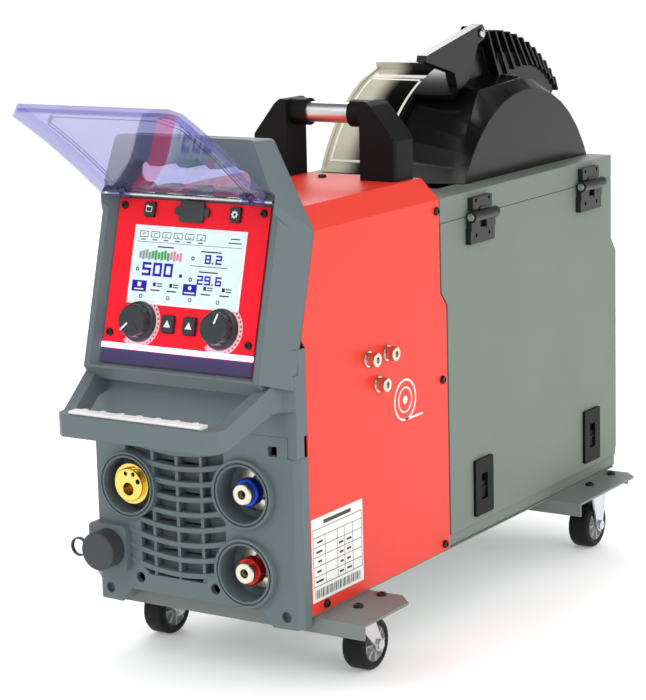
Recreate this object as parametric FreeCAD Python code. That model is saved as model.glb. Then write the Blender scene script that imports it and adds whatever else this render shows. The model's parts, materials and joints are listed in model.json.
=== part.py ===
import FreeCAD, Part

import math
import os

# Wire feeder on casters: a moulded front with a tilted control panel, a folded red cover over the
# drive section, a sheet housing with a black hood over the wire spool, and four 50 mm casters.
#
# Units are millimetres. +Z is up, -Y is the operator's end, +X is the side with the spool door.
# Parts are drawn with Y counted from the seam between the moulded front and the red cover, and
# save() moves each one so that the origin is on the floor, midway along the overall length.

V = FreeCAD.Vector
X_AXIS, Y_AXIS, Z_AXIS = V(1, 0, 0), V(0, 1, 0), V(0, 0, 1)

# ---- driving dimensions -------------------------------------------------------------------------
HALF_WIDTH = 113.5            # half of the body's width
BODY_BOTTOM = 74.0            # height of the covers' lower edge
SIDE_TOP = 418.0              # where the flat side ends
RED_TOP = 437.0               # top of the red cover
CHAMFER = RED_TOP - SIDE_TOP  # the 45 degree corner of the red cover
SHEET = 1.5                   # sheet steel
MOULD = 3.0                   # moulded plastic wall
RUN = 0.3                     # gap left between pieces that move past each other
FIT = 0.05                    # radial clearance of a pin or shaft in its hole

RED_END = 236.6               # rear edge of the red cover
HOUSING_START = 238.0
HOUSING_END = 606.0
JOG_LOW, JOG_HIGH, JOG = 314.0, 328.0, 11.2   # the seam steps rearward between these heights
LID_LINE = 394.0              # top edge of the spool door

WHEEL_R, WHEEL_WIDTH = 25.0, 24.0
FRONT_AXLE_Y, REAR_AXLE_Y = 88.0, 546.0
CASTER_X = 113.5
SWIVEL_TRAIL = 26.0
MOUNT_Z = 70.0                # height of the casters' top plates
BRACKET_T = 2.5

SPOOL_Y, SPOOL_Z, SPOOL_R = 453.0, 338.0, 150.0
SPOOL_X0, SPOOL_X1 = -61.0, 42.0
HOOD_Y, HOOD_Z, HOOD_R = 464.0, 358.0, 164.0  # centre and radius of the hood's round front
HOOD_LEFT, LENS_LEFT, LENS_RIGHT, HOOD_RIGHT = -68.0, -64.0, 11.0, 82.0
HOOD_T = 3.0
HOOD_PIN = V(0, 427.0, 559.0)                 # hinge pin of the hood lid, along X
HORN_X0, HORN_X1 = 45.0, 56.0
LUG_X0 = 34.0                 # left side of the lug that carries the lid's pin

PANEL_FOOT_Y, PANEL_FOOT_Z, PANEL_LEAN = -32.0, 311.0, 15.5   # foot line and lean of the panel
FLAP_Y, FLAP_Z, FLAP_HALF, FLAP_LENGTH, FLAP_REST = -10.0, 446.0, 88.0, 155.5, 34.5

FACE_Y = -21.0                # front plane of the moulded front
EURO_X, EURO_Z = -69.5, 178.6
COUPLING_X, BLUE_Z, RED_Z = 57.2, 184.6, 112.1
CAP_X, CAP_Z = -91.0, 118.0

WIRE_Z = EURO_Z
ROLL_Y, ROLL_R = 120.0, 15.0
ROLL_GAP = 0.6                # from the wire line to each roll's rim
WALL_X = -38.0                # the inner wall that carries the drive

ORIGIN_Y = 251.261            # middle of the overall length, open flap's tip to rear connectors


# ---- helpers ------------------------------------------------------------------------------------
def box(x0, x1, y0, y1, z0, z1):
    return Part.makeBox(x1 - x0, y1 - y0, z1 - z0, V(x0, y0, z0))


def rod(radius, start, end):
    """Round bar from one point to another."""
    along = end - start
    return Part.makeCylinder(radius, along.Length, start, along)


def tube(outer, inner, start, end):
    return rod(outer, start, end).cut(rod(inner, start, end))


def wire(points):
    return Part.makePolygon(list(points) + [points[0]])


def prism_x(yz, x0, x1):
    """Solid with a side outline of (y, z) points, from x0 to x1."""
    face = Part.Face(wire([V(x0, y, z) for y, z in yz]))
    return face.extrude(V(x1 - x0, 0, 0))


def prism_y(xz, y0, y1):
    face = Part.Face(wire([V(x, y0, z) for x, z in xz]))
    return face.extrude(V(0, y1 - y0, 0))


def prism_z(xy, z0, z1):
    face = Part.Face(wire([V(x, y, z0) for x, y in xy]))
    return face.extrude(V(0, 0, z1 - z0))


def loft(*outlines):
    return Part.makeLoft([wire(points) for points in outlines], True, True)


def fuse(*shapes):
    return shapes[0].multiFuse(list(shapes[1:])).removeSplitter()


def cut(shape, *tools):
    for tool in tools:
        shape = shape.cut(tool)
    return shape


def mirror_x(shape):
    return shape.mirror(V(0, 0, 0), X_AXIS)


def turned(shape, centre, axis, degrees):
    shape = shape.copy()
    shape.rotate(centre, axis, degrees)
    return shape


def moved(shape, x=0, y=0, z=0):
    shape = shape.copy()
    shape.translate(V(x, y, z))
    return shape


def arc_points(cy, cz, radius, start, end, steps):
    """Points (y, z) on a circle. Degrees are counted from -Y, rising over the top."""
    step = (end - start) / steps
    angles = [math.radians(start + i * step) for i in range(steps + 1)]
    return [(cy - radius * math.cos(a), cz + radius * math.sin(a)) for a in angles]


def round_edges(shape, radius, keep):
    """Fillets the edges that keep() picks, and leaves the shape as it is if that can't be built."""
    edges = [edge for edge in shape.Edges if keep(edge)]
    try:
        filleted = shape.makeFillet(radius, edges)
    except Exception:
        return shape
    return filleted if filleted.isValid() and filleted.Volume > 0 else shape


def along(edge, axis):
    if len(edge.Vertexes) != 2:
        return False
    run = edge.Vertexes[1].Point - edge.Vertexes[0].Point
    return run.Length > 0.5 and abs(run.normalize().dot(axis)) > 0.999


def rounded_box(x0, x1, y0, y1, z0, z1, radius, axis):
    """Box with its four edges along axis rounded."""
    return round_edges(box(x0, x1, y0, y1, z0, z1), radius, lambda e: along(e, axis))


def revolve(profile, centre, axis, side):
    """Solid of revolution. profile holds (distance along axis, radius) points."""
    face = Part.Face(wire([centre + axis * d + side * r for d, r in profile]))
    return face.revolve(centre, axis, 360)


def panel_point(x, up, out=0.0):
    """Point on the tilted control panel: across, up along it, and out from its face."""
    lean = math.radians(PANEL_LEAN)
    y = PANEL_FOOT_Y + up * math.sin(lean) - out * math.cos(lean)
    z = PANEL_FOOT_Z + up * math.cos(lean) + out * math.sin(lean)
    return V(x, y, z)


def on_panel(shape):
    """Moves a shape drawn flat (x across, z up, -y out) onto the control panel."""
    shape = turned(shape, V(0, 0, 0), X_AXIS, -PANEL_LEAN)
    shape.translate(V(0, PANEL_FOOT_Y, PANEL_FOOT_Z))
    return shape


def screw(at, out, head_r=4.0, head_h=3.0, shank_r=2.0, shank=6.0):
    """Domed screw. at is where the head seats and out points away from the surface."""
    head = rod(head_r, at, at + out * head_h)
    head = round_edges(head, 0.6 * head_h, lambda e: (e.BoundBox.Center - at).dot(out) > 0.9 * head_h)
    socket = rod(0.45 * head_r, at + out * 0.45 * head_h, at + out * 2 * head_h)
    return fuse(head.cut(socket), rod(shank_r, at - out * shank, at + out * 0.2))


def hole(at, out, radius, depth=8.0):
    return rod(radius, at - out * depth, at + out * depth)


def save(name, shape):
    shape = shape.copy()
    shape.translate(V(0, -ORIGIN_Y, 0))
    shape.exportStep("parts/" + name + ".step")


# ---- fastener places ----------------------------------------------------------------------------
SIDE_SCREWS = [V(HALF_WIDTH, y, z) for y, z in ((231, 407), (238, 243.5), (237.6, 80.4), (23.8, 80.2))]
TOP_SCREWS = [V(2, 208, RED_TOP)]
DRIVE_BOLTS = [V(HALF_WIDTH, y, z) for y, z in ((103.6, 288.7), (136.8, 288.3), (120.0, 262.5))]
PANEL_SCREWS = [(x, up) for x in (-75.5, 75.5) for up in (11, 126.5)]
FRONT_BRACKET_SCREWS = [(x, y) for x in (-132, -92, 92, 132) for y in (48, 88)]
REAR_BRACKET_SCREWS = [(x, y) for x in (-125, -92, 92, 125) for y in (529, 581)]


def body_screws():
    screws = [screw(p, X_AXIS) for p in SIDE_SCREWS]
    screws += [mirror_x(s) for s in screws]
    screws += [screw(p, Z_AXIS) for p in TOP_SCREWS]
    screws += [on_panel(screw(V(x, -2.0, up), Y_AXIS * -1, 3.5, 2.5, 1.5, 5.0)) for x, up in PANEL_SCREWS]
    top = MOUNT_Z + BRACKET_T
    for x, y in FRONT_BRACKET_SCREWS + REAR_BRACKET_SCREWS:
        if abs(x) > HALF_WIDTH:
            screws.append(screw(V(x, y, top), Z_AXIS, 4.5, 3.0, 2.5, 8.0))
        else:
            screws.append(screw(V(x, y, MOUNT_Z - 2.5), Z_AXIS * -1, 4.5, 3.0, 2.5, 4.5))
    return Part.makeCompound(screws)


def drive_unit_bolts():
    bolts = []
    for p in DRIVE_BOLTS:
        washer = tube(7.5, 3.2, p, p + X_AXIS * 1.5)
        spring = tube(6.0, 3.2, p + X_AXIS * 1.5, p + X_AXIS * 4.5)
        head = rod(6.75, p + X_AXIS * 4.5, p + X_AXIS * 11)
        head = round_edges(head, 1.0, lambda e: e.BoundBox.Center.x > p.x + 10)
        head = head.cut(rod(2.8, p + X_AXIS * 7.5, p + X_AXIS * 12))
        bolts.append(fuse(washer, spring, head, rod(3.1, p - X_AXIS * 12, p + X_AXIS * 5)))
    return Part.makeCompound(bolts)


# ---- chassis ------------------------------------------------------------------------------------
def base_tray():
    tray = box(-113, 113, 3, 612, MOUNT_Z + BRACKET_T, BODY_BOTTOM - 0.2)
    rail = box(-111.8, -108.8, 3, 247, BODY_BOTTOM - 0.2, BODY_BOTTOM + 20)
    tray = fuse(tray, rail, mirror_x(rail))
    for x, y in FRONT_BRACKET_SCREWS + REAR_BRACKET_SCREWS:
        tray = tray.cut(hole(V(x, y, MOUNT_Z), Z_AXIS, 2.5 + FIT, 5))
    for p in SIDE_SCREWS:
        tray = cut(tray, hole(p, X_AXIS, 2.05), mirror_x(hole(p, X_AXIS, 2.05)))
    return tray


def caster_bracket(half, y0, y1, taper, left_cut, screws):
    """Folded plate across the underside, with cut corners and a flange turned down."""
    across, deep = left_cut
    outline = [(-half + across, y0), (half, y0), (half, y1 - taper), (half - taper, y1),
               (-half + taper, y1), (-half, y1 - taper), (-half, y0 + deep)]
    plate = prism_z(outline, MOUNT_Z, MOUNT_Z + BRACKET_T)
    front = box(-half + across, half, y0, y0 + BRACKET_T, MOUNT_Z - 12, MOUNT_Z + BRACKET_T)
    rear = box(-half + taper, half - taper, y1 - BRACKET_T, y1, MOUNT_Z - 10, MOUNT_Z + BRACKET_T)
    bracket = fuse(plate, front, rear)
    for x, y in screws:
        bracket = bracket.cut(hole(V(x, y, MOUNT_Z), Z_AXIS, 2.5 + FIT, 4))
    return bracket


def tapered_leg(x0, x1, y_top, half_top, y_axle, half_axle, z_top):
    """Side plate of a caster fork, narrowing to a round end at the axle."""
    a = WHEEL_R
    outline = [(y_top - half_top, z_top), (y_top + half_top, z_top), (y_top + half_top, z_top - 8),
               (y_axle + half_axle, a), (y_axle - half_axle, a), (y_top - half_top, z_top - 8)]
    eye = rod(half_axle, V(x0, y_axle, a), V(x1, y_axle, a))
    return fuse(prism_x(outline, x0, x1), eye)


def fork_legs(x, y_top, half_top, y_axle, z_top):
    inner = WHEEL_WIDTH / 2 + 1.2
    outer = inner + 2.2
    right = tapered_leg(x + inner, x + outer, y_top, half_top, y_axle, 6.5, z_top)
    left = tapered_leg(x - outer, x - inner, y_top, half_top, y_axle, 6.5, z_top)
    crown = box(x - outer, x + outer, y_top - half_top, y_top + half_top, z_top - 2.2, z_top)
    axle = rod(3.0, V(x - outer - 2, y_axle, WHEEL_R), V(x + outer + 2, y_axle, WHEEL_R))
    nuts = fuse(rod(5.0, V(x + outer, y_axle, WHEEL_R), V(x + outer + 2.5, y_axle, WHEEL_R)),
                rod(5.0, V(x - outer - 2.5, y_axle, WHEEL_R), V(x - outer, y_axle, WHEEL_R)))
    return fuse(right, left, crown, axle, nuts)


def swivel_fork(x):
    """Fork that turns in its head bearing, with the axle trailing behind the swivel line."""
    y = FRONT_AXLE_Y - SWIVEL_TRAIL
    crown_top = MOUNT_Z - 9
    fork = fork_legs(x, y + 4, 14, FRONT_AXLE_Y, crown_top)
    return fuse(fork, rod(6.0, V(x, y, crown_top - 3), V(x, y, crown_top + 6)))


def swivel_heads():
    heads = []
    for x in (-CASTER_X, CASTER_X):
        y = FRONT_AXLE_Y - SWIVEL_TRAIL
        plate = box(x - 25, x + 25, y - 20, y + 31, MOUNT_Z - 2.5, MOUNT_Z)
        cup = tube(15, 6.0 + FIT, V(x, y, MOUNT_Z - 8.5), V(x, y, MOUNT_Z - 2.5))
        head = fuse(plate, cup).cut(rod(6.0 + FIT, V(x, y, MOUNT_Z - 9), V(x, y, MOUNT_Z - 2.4)))
        for sx, sy in FRONT_BRACKET_SCREWS:
            head = head.cut(hole(V(sx, sy, MOUNT_Z), Z_AXIS, 2.5 + FIT, 6))
        heads.append(head)
    return Part.makeCompound(heads)


def rear_caster_forks():
    forks = []
    for x in (-CASTER_X, CASTER_X):
        plate = box(x - 25, x + 25, REAR_AXLE_Y - 25, REAR_AXLE_Y + 43, MOUNT_Z - 2.5, MOUNT_Z)
        fork = fuse(fork_legs(x, REAR_AXLE_Y, 16, REAR_AXLE_Y, MOUNT_Z - 2), plate)
        for sx, sy in REAR_BRACKET_SCREWS:
            fork = fork.cut(hole(V(sx, sy, MOUNT_Z), Z_AXIS, 2.5 + FIT, 6))
        forks.append(fork)
    return Part.makeCompound(forks)


def caster_wheel(x, y):
    """Wheel with a rubber tread, a recessed spoked face on each side and a bored hub."""
    half = WHEEL_WIDTH / 2
    profile = [(-half, 7), (-half, 3.05), (half, 3.05), (half, 7), (half - 5, 8), (half - 5, 15.5),
               (half - 1.2, 16.5), (half, 20), (half - 1.5, 23.5), (half - 4, WHEEL_R),
               (4 - half, WHEEL_R), (1.5 - half, 23.5), (-half, 20), (1.2 - half, 16.5),
               (5 - half, 15.5), (5 - half, 8)]
    centre = V(x, y, WHEEL_R)
    wheel = revolve(profile, centre, X_AXIS, Y_AXIS)
    spoke = box(x - half + 1, x + half - 1, y - 1.0, y + 1.0, WHEEL_R + 6, WHEEL_R + 17)
    return fuse(wheel, *[turned(spoke, centre, X_AXIS, i * 45) for i in range(8)])


# ---- red cover and carry handle -----------------------------------------------------------------


def cover_section(inset):
    w = HALF_WIDTH - inset
    k = inset * math.tan(math.radians(22.5))
    return [(-w, BODY_BOTTOM - 1), (-w, SIDE_TOP - k), (-w + CHAMFER - inset + k, RED_TOP - inset),
            (w - CHAMFER + inset - k, RED_TOP - inset), (w, SIDE_TOP - k), (w, BODY_BOTTOM - 1)]


SEAM = [(0, BODY_BOTTOM), (0, 318), (-6, 326), (20, SIDE_TOP), (25.3, RED_TOP + 1)]


def cover_outline(gap):
    """Side outline of the red cover, kept a gap behind the seam with the moulded front."""
    low = RED_END + JOG
    rear = [(RED_END, RED_TOP + 1), (RED_END, JOG_HIGH), (low, JOG_LOW), (low, BODY_BOTTOM)]
    return [(y + gap, z) for y, z in SEAM] + rear


def red_cover():
    """Folded sheet: two sides with stepped rear edges, 45 degree corners and a flat top."""
    skin = prism_y(cover_section(0), -20, 260).cut(prism_y(cover_section(SHEET), -21, 261))
    outline = cover_outline(0.3)
    cover = skin.common(prism_x(outline, -HALF_WIDTH - 1, HALF_WIDTH + 1))
    for p in SIDE_SCREWS:
        cover = cut(cover, hole(p, X_AXIS, 2.05), mirror_x(hole(p, X_AXIS, 2.05)))
    for p in TOP_SCREWS:
        cover = cover.cut(hole(p, Z_AXIS, 2.05))
    for p in DRIVE_BOLTS:
        cover = cover.cut(hole(p, X_AXIS, 3.15))
    return cover


HANDLE_X, HANDLE_Y, HANDLE_Z, HANDLE_R = 9.0, 217.0, 498.5, 9.8
POST_IN, POST_OUT, POST_HALF = 41.0, 80.0, 17.5   # counted from the handle's own middle


def handle_post(side):
    """Post of the carry handle, with a sloped shoulder and a socket for the tube."""
    shoulder = POST_OUT - 26
    outline = [(POST_IN, RED_TOP), (POST_OUT, RED_TOP), (POST_OUT, 475), (shoulder, 507),
               (shoulder - 6, 511.5), (POST_IN, 511.5)]
    post = prism_y(outline, HANDLE_Y - POST_HALF, HANDLE_Y + POST_HALF)
    post = round_edges(post, 4.0, lambda e: along(e, Z_AXIS) and e.BoundBox.Center.x > POST_IN + 1)
    post = round_edges(post, 3.0, lambda e: e.BoundBox.Center.z > 506 and e.BoundBox.YLength > 20)
    post = fuse(post, rod(13.0, V(24, HANDLE_Y, HANDLE_Z), V(POST_IN + 4, HANDLE_Y, HANDLE_Z)))
    post = post.cut(rod(HANDLE_R + FIT, V(20, HANDLE_Y, HANDLE_Z), V(POST_IN + 10, HANDLE_Y, HANDLE_Z)))
    return moved(post if side > 0 else mirror_x(post), x=HANDLE_X)


def handle_tube():
    reach = POST_IN + 9.5
    start, end = V(HANDLE_X - reach, HANDLE_Y, HANDLE_Z), V(HANDLE_X + reach, HANDLE_Y, HANDLE_Z)
    return tube(HANDLE_R, HANDLE_R - 2, start, end)


# ---- moulded front ------------------------------------------------------------------------------
def casing_plan(inset):
    """Plan outline of the moulded front: flat sides, bevelled corners and a slightly bowed face."""
    w = HALF_WIDTH - inset
    face = FACE_Y + inset
    return [(-w, 0), (-w, -11), (-w + 5, face + 4), (-60, face + 0.8), (0, face), (60, face + 0.8),
            (w - 5, face + 4), (w, -11), (w, 0)]


CASING_TOP = 240.0            # where the lower moulding meets the upper one, under the bumper
HOOK_X, HOOK_Z = 104.0, 221.0
SOCKETS = [(EURO_X, EURO_Z, 31.0, 26.0), (COUPLING_X, BLUE_Z, 32.0, 26.0), (COUPLING_X, RED_Z, 32.0, 26.0)]
WELL_FLOOR = 2.0              # how far behind the seam the wells' floors end


def grille_slats():
    """Slats that dip in the middle, on three upright ribs."""
    radius, pitch, depth = 190.0, 14.2, 4.6
    window = box(-74, 38, FACE_Y - 1, FACE_Y + 20, 94, 226)
    slats = []
    for i in range(9):
        centre_z = 98 + i * pitch + radius
        start, end = V(-16, FACE_Y + 0.5, centre_z), V(-16, FACE_Y + 12, centre_z)
        slats.append(tube(radius, radius - depth, start, end).common(window))
    ribs = [box(x - 1.6, x + 1.6, FACE_Y + 1.5, FACE_Y + 14, 94, 226) for x in (-43, -16, 11)]
    floor = box(-76, 40, FACE_Y + 11, FACE_Y + 14, 91, 226)
    floor = cut(floor, *[box(-70, 34, FACE_Y + 10, FACE_Y + 15, z, z + 2) for z in (118, 146, 174, 202)])
    return slats + ribs + [floor]


def front_casing():
    """Lower moulded shell: feet, vent grille, three deep socket wells and the cap's boss."""
    outer = prism_z(casing_plan(0), 79, CASING_TOP)
    inside = prism_z(casing_plan(MOULD), 82, CASING_TOP - 3)
    shell = outer.cut(moved(inside, y=MOULD))
    opening = [(-73, 224), (37, 224), (37, 104), (14, 104), (14, 96), (-50, 96), (-58, 104), (-58, 150),
               (-73, 150)]
    parts = [shell.cut(prism_y(opening, FACE_Y - 5, FACE_Y + 8))] + grille_slats()
    for x, z, outer_r, _ in SOCKETS:
        parts.append(rod(outer_r, V(x, FACE_Y - 3, z), V(x, WELL_FLOOR, z)))
    for side in (-1, 1):
        foot = [(side * HALF_WIDTH, 65), (side * 84, 65), (side * 72, 79.5), (side * HALF_WIDTH, 79.5)]
        parts.append(prism_y(foot, FACE_Y, 0).common(prism_z(casing_plan(0), 60, 80)))
    boss = rounded_box(-HALF_WIDTH, CAP_X + 20, FACE_Y - 6, 0, CAP_Z - 22, CAP_Z + 22, 5, Y_AXIS)
    shell = fuse(*parts, boss)
    for x, z, _, inner_r in SOCKETS:
        shell = shell.cut(rod(inner_r, V(x, FACE_Y - 5, z), V(x, WELL_FLOOR - 3, z)))
        shell = shell.cut(rod(inner_r - 6, V(x, FACE_Y, z), V(x, WELL_FLOOR + 2, z)))
        shell = shell.cut(tube(inner_r + 3.4, inner_r + 1.8, V(x, FACE_Y - 4, z), V(x, FACE_Y - 1.0, z)))
    shell = shell.cut(rod(13.5, V(CAP_X, FACE_Y - 8, CAP_Z), V(CAP_X, 1, CAP_Z)))
    for x, z in ((-60.7, 91.7), (23.7, 92.3), (-98, 76), (98, 76)):
        shell = shell.cut(rod(5, V(x, FACE_Y - 5, z), V(x, FACE_Y + 9, z)))
    for side in (-1, 1):
        shell = shell.cut(box(side * 109 - 5.3, side * 109 + 5.3, -40, 1, HOOK_Z - RUN, CASING_TOP + 1))
    return shell.cut(box(84, 93, FACE_Y - 2, FACE_Y + 10, 222, 231))


def loop_outline(y, foot, z_foot, z_mid, top, z_top):
    return [V(-foot, y, z_foot), V(foot, y, z_foot), V(foot, y, z_mid), V(top, y, z_top), V(-top, y, z_top),
            V(-foot, y, z_mid)]


def seam_y(z):
    """Y of the leaning seam line at a height."""
    return -6 + (z - 326) * 26 / 92


BUMPER_LOW, BUMPER_HIGH, BUMPER_FRONT = 241.0, 261.0, -104.0
ARM_FOOT, ARM_TOP = 264.0, 296.0        # undersides and tops of the bumper's arms, where they meet the shell
RIM = 9.0                     # how far the console's rim stands out from the panel


def bumper_arm():
    """Right arm of the bumper: it rises from the end of the front bar to the shell's side."""
    plan = [(85, -97), (103, -22), (HALF_WIDTH, -17), (HALF_WIDTH, 0), (95, 0), (91, -22), (73, -97)]
    side = [(-97, BUMPER_LOW), (-97, BUMPER_HIGH), (-86, BUMPER_HIGH), (-20, ARM_TOP), (0, ARM_TOP),
            (0, ARM_FOOT), (-34, ARM_FOOT), (-86, BUMPER_LOW)]
    return prism_z(plan, BUMPER_LOW, ARM_TOP).common(prism_x(side, 0, HALF_WIDTH))


def console_frame():
    """Upper moulded shell: a hood round the control panel, a grab loop above and a bumper below."""
    w = HALF_WIDTH
    low = CASING_TOP + 0.2
    front = [panel_point(x, up, RIM) for x, up in ((-95, -22), (95, -22), (95, 138), (-95, 138))]
    back = [V(-w, seam_y(283), 283), V(w, seam_y(283), 283), V(w, 20, SIDE_TOP), V(-w, 20, SIDE_TOP)]
    cheeks = loft(front, back)
    loop = loft(loop_outline(-12, 94, 436, 444, 74, 499), loop_outline(20, w, 400, SIDE_TOP, 74, 497))
    loop = round_edges(loop, 6.0, lambda e: e.BoundBox.Center.z > 494 and e.BoundBox.YLength > 20)
    neck = prism_z(casing_plan(0), low, 318)
    chin = prism_x([(-46.5, 292), (-37, 280), (-10, 280), (-10, 318), (-34, 318)], -95, 95)
    bar = prism_z([(-77, BUMPER_FRONT), (77, BUMPER_FRONT), (85, -97), (82, -86), (-82, -86), (-85, -97)],
                  BUMPER_LOW, BUMPER_HIGH)
    arm = bumper_arm()
    bumper = round_edges(fuse(bar, arm, mirror_x(arm)), 3.5, lambda e: e.BoundBox.Center.y < -40)
    hook = box(HOOK_X, w, -17, -5, HOOK_Z, ARM_FOOT + 4)
    body = fuse(cheeks, loop, neck, chin, bumper, hook, mirror_x(hook))
    grab = rounded_box(-70, 70, -30, 40, 453, 472, 8, Y_AXIS)
    scallops = [rod(14, V(x, -30, 463), V(x, 40, 463)) for x in (-48, -16, 16, 48)]
    mouth_foot = [panel_point(x, up, 0) for x, up in ((-83, -17), (83, -17), (83, 134), (-83, 134))]
    mouth_edge = [(-101, -25), (101, -25), (101, 150), (-101, 150)]
    mouth = loft(mouth_foot, [panel_point(x, up, 3 * RIM) for x, up in mouth_edge])
    window = on_panel(box(-80, 80, -1, 5, -13, 131))
    foot, head = panel_point(0, -16, -MOULD), panel_point(0, 131, -MOULD)
    room = prism_x([(foot.y, foot.z), (head.y, head.z), (60, head.z), (60, foot.z)], -90, 90)
    low_room = moved(prism_z(casing_plan(MOULD), low + 3, foot.z + 1), y=MOULD)
    skin = prism_y(cover_section(-0.2), -20, 60).cut(prism_y(cover_section(SHEET + 0.2), -21, 61))
    cover = skin.common(prism_x(cover_outline(0), -w - 1, w + 1))
    body = cut(body, grab, *scallops, mouth, window, room, low_room, cover)
    for x, up in PANEL_SCREWS:
        body = body.cut(on_panel(hole(V(x, 0, up), Y_AXIS, 1.55, 9)))
    pin_bore = rod(2.0 + FIT, V(-92, FLAP_Y, FLAP_Z), V(92, FLAP_Y, FLAP_Z))
    flap_room = rod(8.0, V(-FLAP_HALF - 0.5, FLAP_Y, FLAP_Z), V(FLAP_HALF + 0.5, FLAP_Y, FLAP_Z))
    return cut(body, flap_room, pin_bore)


def grip_strip():
    """Pale ribbed strip along the bumper's top edge."""
    y0, y1, z = BUMPER_FRONT + 3, BUMPER_FRONT + 15, BUMPER_HIGH
    strip = rounded_box(-71, 71, y0, y1, z, z + 3, 1.2, X_AXIS)
    bumps = [rod(3.4, V(-60 + i * 20, y1 - 3.0, z), V(-60 + i * 20, y1 - 3.0, z + 3.6)) for i in range(7)]
    return fuse(strip, *bumps)


def control_plate():
    plate = fuse(box(-82, 82, -2, 0, 2.6, 133), box(-82, 82, -2, 0, -16, -3), box(-82, 82, -1, 0, -4, 4))
    cuts = [box(-58.5, 58.5, -4, 1, 41.5, 107.5)]
    for x in (-44.5, 44.5):
        cuts.append(rod(4.0, V(x, -4, 23), V(x, 1, 23)))
    cuts += [box(x - 6.8, x + 6.8, -4, 1, 15.0, 31.0) for x in (-11.7, 11.7)]
    cuts += [box(x - 5.8, x + 5.8, -4, 1, 117.2, 130.8) for x in (-46.5, 46.5)]
    cuts.append(box(-9, 9, -4, 1, 120, 128))
    cuts += [rod(1.55, V(x, -4, up), V(x, 1, up)) for x, up in PANEL_SCREWS]
    return on_panel(cut(plate, *cuts))


def lcd_display():
    glass = box(-58.2, 58.2, -2.4, 1, 41.8, 107.2)
    return on_panel(fuse(glass, box(-64, 64, 0.05, 6, 36, 112)))


def led_bar():
    return on_panel(rounded_box(-81.5, 81.5, -4.4, -1.05, -2.6, 2.2, 1.2, X_AXIS))


def control_board():
    """Circuit board behind the panel, with the shafts and stems that the knobs and buttons use."""
    board = box(-80, 80, 8, 9.6, -10, 128)
    stems = [rod(3.0, V(x, -12, 23), V(x, 8.2, 23)) for x in (-44.5, 44.5)]
    bushes = [rod(6.0, V(x, 0.1, 23), V(x, 8.2, 23)) for x in (-44.5, 44.5)]
    socket = box(-8, 8, -1.6, 8.2, 121, 127)
    chips = [box(x, x + 14, 9.6, 13, up, up + 10) for x, up in ((-60, 60), (-10, 80), (30, 50))]
    return on_panel(fuse(board, *stems, *bushes, socket, *chips))


def knob(x):
    """Round knob with a skirt, a flat-topped cap and a pointer rib."""
    centre = V(x, -2.4, 23)
    profile = [(0, 3.0 + FIT), (0, 18.4), (2.5, 17.8), (3.5, 15.4), (11.5, 14.4), (13, 13), (13, 0),
               (10, 0), (10, 3.0 + FIT)]
    body = revolve(profile, centre, Y_AXIS * -1, X_AXIS)
    flutes = [rod(1.6, centre + V(math.cos(a) * 16.0, -4.2, math.sin(a) * 16.0),
                  centre + V(math.cos(a) * 15.2, -14, math.sin(a) * 15.2))
              for a in [math.radians(15 + 30 * i) for i in range(12)]]
    pointer = box(x - 0.9, x + 0.9, -15.9, -15.0, 23 + 3, 23 + 12)
    turn = 225 if x < 0 else 20
    return on_panel(turned(fuse(cut(body, *flutes), pointer), V(x, 0, 23), Y_AXIS, -turn))


def button(x, up, half_w, half_h):
    cap = rounded_box(x - half_w, x + half_w, -5.0, 1.5, up - half_h, up + half_h, 2.5, Y_AXIS)
    return on_panel(cap)


def usb_cover():
    """Rubber lid over the data socket, hinged on the strap at its left end."""
    lid = rounded_box(-13, 13, -5.0, -2.3, 114.5, 133.5, 3, Y_AXIS)
    tabs = rounded_box(-18.5, 18.5, -4.4, -2.3, 120, 128, 2, Y_AXIS)
    return on_panel(fuse(lid, tabs))


def display_flap():
    """Clear violet flap: a shallow curved sheet with turned-down sides and hinge knuckles."""
    sag = 3.0
    n = 10
    top, under = [], []
    for i in range(n + 1):
        s = i / n
        y = -6.5 - s * (FLAP_LENGTH - 6.5)
        z = sag * math.sin(math.pi * s) + 3.0
        top.append((y, z))
        under.append((y, z - 2.6))
    half = FLAP_HALF - 0.3
    sheet = prism_x(top + under[::-1], -half, half)
    rim = prism_x([(y, z - 1) for y, z in top] + [(y, z - 6) for y, z in under[::-1]], half - 2.6, half)
    tip = box(-half + 8, half - 8, -FLAP_LENGTH - 2.4, -FLAP_LENGTH + 0.2, -4.5, 3.0)
    corner = fuse(prism_z([(-half + 8, -FLAP_LENGTH - 2.4), (-half + 8, -FLAP_LENGTH + 0.2),
                           (-half + 2.6, -FLAP_LENGTH + 6), (-half, -FLAP_LENGTH + 6)], -4.5, 3.0))
    trim = fuse(prism_z([(-half - 1, -FLAP_LENGTH - 1), (-half + 8, -FLAP_LENGTH - 1),
                         (-half, -FLAP_LENGTH + 6), (-half - 1, -FLAP_LENGTH + 6)], -20, 20))
    sheet = cut(fuse(sheet, rim, mirror_x(rim)), trim, mirror_x(trim))
    sheet = fuse(sheet, tip, corner, mirror_x(corner))
    knuckles = []
    for x0, x1 in ((-84, -62), (62, 84)):
        barrel = rod(4.6, V(x0, 0, 0), V(x1, 0, 0))
        web = box(x0, x1, -9, -2, -1.5, 3.2)
        knuckles.append(fuse(barrel, web))
    flap = fuse(sheet, *knuckles).cut(rod(2.0 + FIT, V(-90, 0, 0), V(90, 0, 0)))
    flap = turned(flap, V(0, 0, 0), X_AXIS, -FLAP_REST)
    return moved(flap, 0, FLAP_Y, FLAP_Z)


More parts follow.
